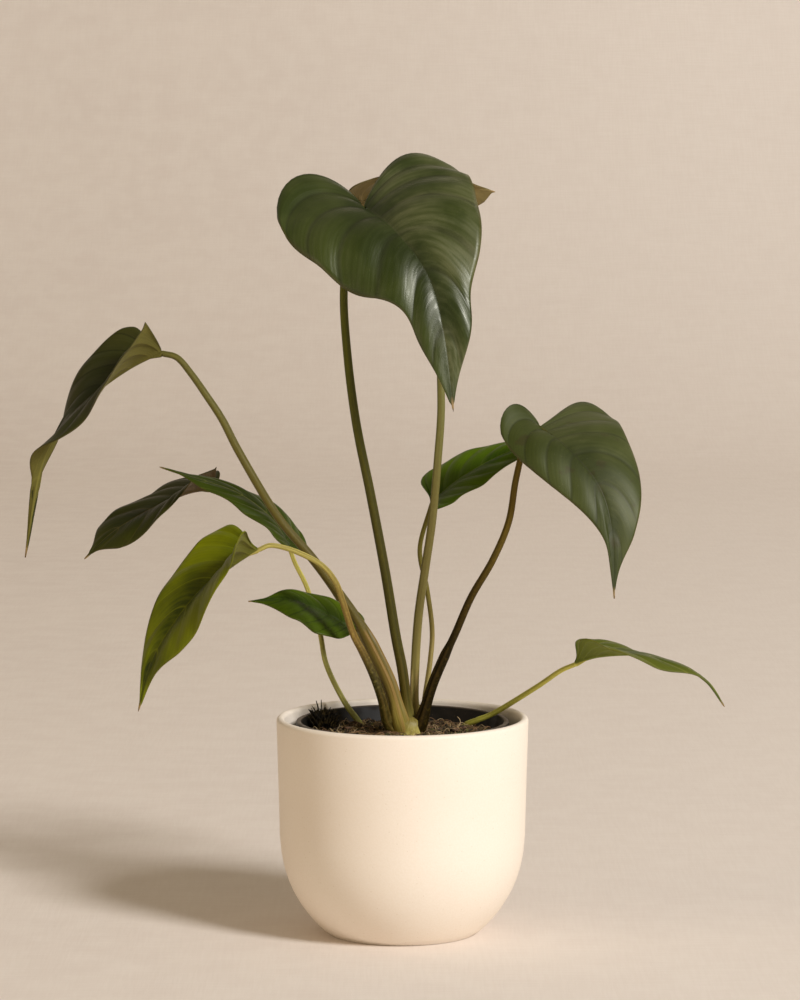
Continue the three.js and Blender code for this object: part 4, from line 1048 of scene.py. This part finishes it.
# %% Stalk finishes
def stalk_finish(name, look):
    material, tree, shader = new_material(
        name, Specular_IOR_Level=look["gloss"], Specular_Tint=(1, 0.97, 0.82, 1))
    along = number(tree, "along")
    lines = masked(tree, streaks, Across=7, Along=12, Low=0.42, High=0.66)
    dots = masked(tree, mottle, Scale=650, Low=0.5, High=0.66)
    painted(tree, shader, look["base"],
            (ramped(tree, along, 0.04, 0.17), 1, look["foot"]),
            (ramped(tree, along, *look["rise"]), 1, look["middle"]),
            (ramped(tree, along, 0.45, 0.8), 1, look["top"]),
            (lines, 0.3, look["streak"]),
            (dots, 0.1, shade(look["top"], 1.3)),
            (number(tree, "edge"), 0.8, look["edge"]),
            (number(tree, "channel"), 0.5, look["streak"]))
    roughened(tree, shader, lines, 0.42, 0.56)
    bumped(tree, shader, lines, 0.15, 0.6)
    return material


for place, (leaf, look) in enumerate(zip(LEAVES, STALKS), 1):
    finish = stalk_finish(f"stalk_{place:02d}_skin", look)
    dress(make_stalk(f"stalk_{place:02d}", leaf, look, finish), "stalk", f"petiole_{place:02d}")

# %% [markdown]
# ## Crown
# The crown is the short stem that all stalks sheathe. From outside it is a low dome of overlapping sheath
# feet that leans a little forward: yellow-green at the soil, browner above, with fine upright ridges. It
# is turned, then its radius is varied round and up.

# %% Crown
CROWN_CENTRE = (2.8, 2.5)
CROWN_HALF_WIDTH = 10.5
CROWN_HALF_DEPTH = 8.5
CROWN_BOTTOM = 98
CROWN_SHOULDER = 114
CROWN_TIP = 123.8
CROWN_LEAN = (1.8, -2.5)
CROWN_LEAN_HEIGHT = 12
CROWN_SIDES = 96
CROWN_RINGS = [
    (0.8, CROWN_BOTTOM), (0.9, 101), (1, 104), (1, 108), (1.02, 111), (1.02, 113), (1, CROWN_SHOULDER),
    (0.97, 116), (0.9, 118), (0.78, 120), (0.62, 121.6), (0.42, 122.8), (0.2, 123.5),
]


def crown_point(share, z, a):
    ridge = 1 + 0.015 * math.sin(11 * a + 0.05 * z)
    ridge += 0.03 * noise.noise(Vector((5 * math.cos(a), 5 * math.sin(a), z / 9)))
    lean = smooth((z - CROWN_SHOULDER) / CROWN_LEAN_HEIGHT)
    x = CROWN_CENTRE[0] + CROWN_LEAN[0] * lean + CROWN_HALF_WIDTH * share * ridge * math.cos(a)
    y = CROWN_CENTRE[1] + CROWN_LEAN[1] * lean + CROWN_HALF_DEPTH * share * ridge * math.sin(a)
    return x, y, z


crown_turn = [k / CROWN_SIDES for k in range(CROWN_SIDES)]
crown_points = [crown_point(share, z, 2 * math.pi * u) for share, z in CROWN_RINGS for u in crown_turn]
crown_points += [(*CROWN_CENTRE, CROWN_BOTTOM)]
crown_points += [(CROWN_CENTRE[0] + CROWN_LEAN[0], CROWN_CENTRE[1] + CROWN_LEAN[1], CROWN_TIP)]
crown_numbers = {
    "along": [(z - CROWN_SHOULDER) / 10 for _, z in CROWN_RINGS for _ in crown_turn] + [0, 1],
    "around": crown_turn * len(CROWN_RINGS) + [0, 0],
}

crown_skin, tree, shader = new_material("crown_skin", Roughness=0.5)
lines = masked(tree, streaks, Across=5, Along=2, Low=0.4, High=0.6)
spots = masked(tree, mottle, Scale=300, Low=0.5, High=0.7)
painted(tree, shader, (178, 164, 80),
        (lines, 0.4, (140, 124, 58)),
        (ramped(tree, number(tree, "along"), 0.2, 0.8), 1, (134, 120, 56)),
        (spots, 0.3, (96, 74, 38)))
bumped(tree, shader, lines, 0.3, 0.6)
crown_faces = capped_faces(len(CROWN_RINGS), CROWN_SIDES)
crown = make_object("crown_knob", crown_points, crown_faces, [crown_skin], None, crown_numbers)
dress(crown, "stalk", "crown")

# %% [markdown]
# ## Soil
# Potting soil is dark peat: fine lumps, a few bark chips, and coir fibres that curl out of it. The bed is
# a disc whose surface is raised and lowered by noise. Crumbs, chips and fibres are separate little solids
# set on it by a seeded draw, so that every run places them alike.

# %% Soil bed
SOIL_EDGE = 113
SOIL_MIDDLE = 114.5
SOIL_RINGS = 96
SOIL_SIDES = 300
LUMP_HEIGHT = 2.2
LUMP_WIDTH = 9


def on_circle(radius, angle):
    return radius * math.cos(angle), radius * math.sin(angle)


def soil_height(x, y):
    r = math.hypot(x, y)
    base = np.interp(r, [18, 36, 50, 57], [SOIL_MIDDLE, SOIL_MIDDLE - 0.8, SOIL_EDGE + 0.8, SOIL_EDGE])
    lumps = noise.fractal(Vector((x / LUMP_WIDTH, y / LUMP_WIDTH, 3.7)), 0.9, 2.1, 5)
    return float(base) - 0.4 + LUMP_HEIGHT * lumps * min(1, (58 - r) / 6)


soil_reach = nursery_radius(SOIL_EDGE) - NURSERY_WALL - SEAT_GAP
soil_floor = nursery_foot + NURSERY_WALL + SEAT_GAP
soil_foot = nursery_radius(soil_floor) - NURSERY_WALL - SEAT_GAP
soil_turn = [2 * math.pi * k / SOIL_SIDES for k in range(SOIL_SIDES)]
soil_points = [(*on_circle(soil_foot, a), soil_floor) for a in soil_turn]
for i in range(SOIL_RINGS, 0, -1):
    ring = [on_circle(soil_reach * i / SOIL_RINGS, a) for a in soil_turn]
    soil_points += [(x, y, soil_height(x, y)) for x, y in ring]
soil_points += [(0, 0, soil_floor), (0, 0, soil_height(0, 0))]

peat, tree, shader = new_material("dark_peat", Roughness=0.9)
lumps = masked(tree, mottle, Scale=260, Low=0.35, High=0.7, Detail=8)
bits = masked(tree, specks, Scale=520, Size=0.3)
painted(tree, shader, (30, 24, 10), (lumps, 1, (108, 88, 44)), (bits, 0.7, (148, 122, 74)))
bumped(tree, shader, lumps, 0.8, 1.0)
# Each face starts one point later in its list, which chooses the diagonal that it is split along.
soil_faces = [face[1:] + face[:1] for face in capped_faces(SOIL_RINGS + 1, SOIL_SIDES)]
dress(make_object("soil_bed", soil_points, soil_faces, [peat]), "soil", "soil")

# %% [markdown]
# ## Loose bits on the soil
# A crumb is a ball of twelve points, each pushed in or out a little. A chip is the same ball pressed flat.
# A fibre is a three-sided thread along a bowed way. No bit is set where the crown stands. Their finishes
# differ in little more than two colours and the coarseness of the mottle between them, so one function
# makes them all.

# %% Helpers for loose bits
BALL_RING = 0.894
BALL_RING_HEIGHT = 0.447
BALL = [(0, 0, 1)]
for height, first_angle in ((BALL_RING_HEIGHT, 0), (-BALL_RING_HEIGHT, 36)):
    BALL += [(*on_circle(BALL_RING, math.radians(first_angle + 72 * k)), height) for k in range(5)]
BALL += [(0, 0, -1)]
BALL_FACES = []
for k in range(5):
    n = (k + 1) % 5
    BALL_FACES += [(0, 1 + k, 1 + n), (1 + k, 6 + k, 1 + n), (6 + k, 6 + n, 1 + n), (11, 6 + n, 6 + k)]

CROWN_CLEAR = (13, 11)
CRUMB_REACH = 53
FIBRE_REACH = 50
FIBRE_STEPS = 8
soil_draw = np.random.default_rng(7)


def clear_spot(rim):
    while True:
        x, y = on_circle(rim * math.sqrt(soil_draw.random()), 2 * math.pi * soil_draw.random())
        if math.hypot((x - CROWN_CENTRE[0]) / CROWN_CLEAR[0], (y - CROWN_CENTRE[1]) / CROWN_CLEAR[1]) > 1:
            return x, y


def scatter(name, count, sizes, flat, finish):
    points, faces = [], []
    for _ in range(count):
        x, y = clear_spot(CRUMB_REACH)
        size = soil_draw.uniform(*sizes)
        stretch = np.array([1, soil_draw.uniform(0.5, 1), flat]) * size
        turn = soil_draw.uniform(0, 2 * math.pi)
        lump = np.array(BALL) * stretch * soil_draw.uniform(0.75, 1.15, (12, 1))
        c, s = math.cos(turn), math.sin(turn)
        spun = lump @ np.array([[c, s, 0], [-s, c, 0], [0, 0, 1]])
        faces += [tuple(len(points) + k for k in face) for face in BALL_FACES]
        points += [tuple(p + (x, y, soil_height(x, y) + 0.3 * size * flat)) for p in spun]
    dress(make_object(name, points, faces, [finish]), "soil")


def strand(points, faces, way, radius):
    """Adds a three-sided thread along a way to the lists."""
    along = unit(np.gradient(way, axis=0))
    across = unit(np.cross(along, (0.13, 0.21, 0.97)))
    other = np.cross(along, across)
    start = len(points)
    for i, centre in enumerate(way):
        thin = radius * (1 if 0 < i < len(way) - 1 else 0.5)
        corners = [on_circle(thin, a) for a in np.radians((0, 120, 240))]
        points += [tuple(centre + u * across[i] + v * other[i]) for u, v in corners]
    faces += tube_faces(len(way), 3, start)
    end = len(points) - 3
    faces += [(start + 2, start + 1, start), (end, end + 1, end + 2)]


def fibres(name, count, reach, lift, radius, finish):
    points, faces = [], []
    for _ in range(count):
        x, y = clear_spot(FIBRE_REACH)
        turn, bow = soil_draw.uniform(0, 2 * math.pi), soil_draw.uniform(-1.6, 1.6)
        length, height = soil_draw.uniform(*reach), soil_draw.uniform(*lift)
        way = []
        for u in np.linspace(0, 1, FIBRE_STEPS):
            step = on_circle(length / (FIBRE_STEPS - 1), turn + bow * u)
            x, y = x + step[0], y + step[1]
            shrink = min(1, CRUMB_REACH / max(1, math.hypot(x, y)))
            x, y = x * shrink, y * shrink
            way.append((x, y, soil_height(x, y) + 0.1 + height * math.sin(math.pi * u)))
        strand(points, faces, np.array(way), soil_draw.uniform(*radius))
    dress(make_object(name, points, faces, [finish]), "soil")


def two_tone(name, scale, low_and_high, dark, pale, relief=0, **settings):
    material, tree, shader = new_material(name, **settings)
    rind = masked(tree, mottle, Scale=scale, Low=low_and_high[0], High=low_and_high[1])
    painted(tree, shader, dark, (rind, 1, pale))
    if relief:
        bumped(tree, shader, rind, relief, 0.8)
    return material


print("a crumb has", len(BALL), "points and", len(BALL_FACES), "faces")

# %% Soil crumbs, chips and fibres
bark = two_tone("bark_brown", 420, (0.35, 0.7), (48, 34, 24), (104, 76, 52), relief=0.4, Roughness=0.85)
coir = two_tone("coir_fibre", 140, (0.35, 0.65), (78, 54, 34), (158, 120, 80), Roughness=0.75)
straw = two_tone("pale_straw", 180, (0.35, 0.65), (150, 124, 84), (214, 186, 140), Roughness=0.7)
moss = two_tone("dry_moss", 500, (0.35, 0.65), (46, 44, 14), (96, 94, 44), Roughness=0.85)

scatter("soil_crumbs", 1500, (0.5, 1.5), 0.75, peat)
scatter("bark_chips", 150, (1.2, 3.2), 0.35, bark)
fibres("coir_fibres", 420, (5, 16), (0.2, 2.2), (0.12, 0.24), coir)
scatter("dry_moss_bits", 260, (0.5, 1.5), 0.6, moss)
fibres("straw_fibres", 170, (3, 9), (0.5, 3), (0.1, 0.2), straw)

# %% [markdown]
# ## Dark tuft and straw curl
# At the left a tuft of fine dead roots stands out of the soil. Its threads are tallest in the middle, lean
# outwards and bend as they rise, and three longer ones stand near its centre. At the right one pale straw
# curls up out of the soil. Both use the strand of the fibres.

# %% Dark tuft and straw curl
TUFT_PLACE = (-46, 22)
TUFT_REACH = 8
TUFT_COUNT = 420
TUFT_HEIGHT = 13.5
TUFT_STEPS = 6
LONG_ROOTS = 3
LONG_ROOT_HEIGHT = 18.5
LONG_ROOT_REACH = 0.25
LONG_ROOT_LEAN = 0.3
CURL_PLACE = (31, 20)
CURL_STEPS = 12


def tuft(name, finish):
    points, faces = [], []
    for i in range(TUFT_COUNT):
        is_long = i < LONG_ROOTS
        reach = TUFT_REACH * (LONG_ROOT_REACH if is_long else 1)
        r, a = reach * math.sqrt(soil_draw.random()), 2 * math.pi * soil_draw.random()
        out = np.array(on_circle(r, a))
        x, y = TUFT_PLACE + out
        tall = (LONG_ROOT_HEIGHT if is_long else TUFT_HEIGHT) * (1 - 0.6 * (r / TUFT_REACH) ** 2)
        tall *= soil_draw.uniform(0.75, 1.05)
        lean = (LONG_ROOT_LEAN if is_long else 1) * soil_draw.uniform(-0.35, 0.35, 2)
        lean = lean + 0.3 * out / TUFT_REACH
        foot = soil_height(x, y) - 0.5
        rise = np.linspace(0, 1, TUFT_STEPS)
        way = [(x + lean[0] * tall * u * u, y + lean[1] * tall * u * u, foot + tall * u) for u in rise]
        strand(points, faces, np.array(way), soil_draw.uniform(0.25, 0.55))
    dress(make_object(name, points, faces, [finish]), "soil")


roots = two_tone("dark_roots", 300, (0.4, 0.75), (16, 12, 4), (66, 52, 20),
                 Roughness=0.8, Specular_IOR_Level=0.15)
tuft("root_tuft", roots)

curl_foot = soil_height(*CURL_PLACE)
curl = [(CURL_PLACE[0] + 2.2 * math.sin(3 * u), CURL_PLACE[1], curl_foot + 6.5 * u - 0.3 * math.sin(6 * u))
        for u in np.linspace(0, 1, CURL_STEPS)]
curl_points, curl_faces = [], []
strand(curl_points, curl_faces, np.array(curl), 0.22)
dress(make_object("straw_curl", curl_points, curl_faces, [straw]), "soil")
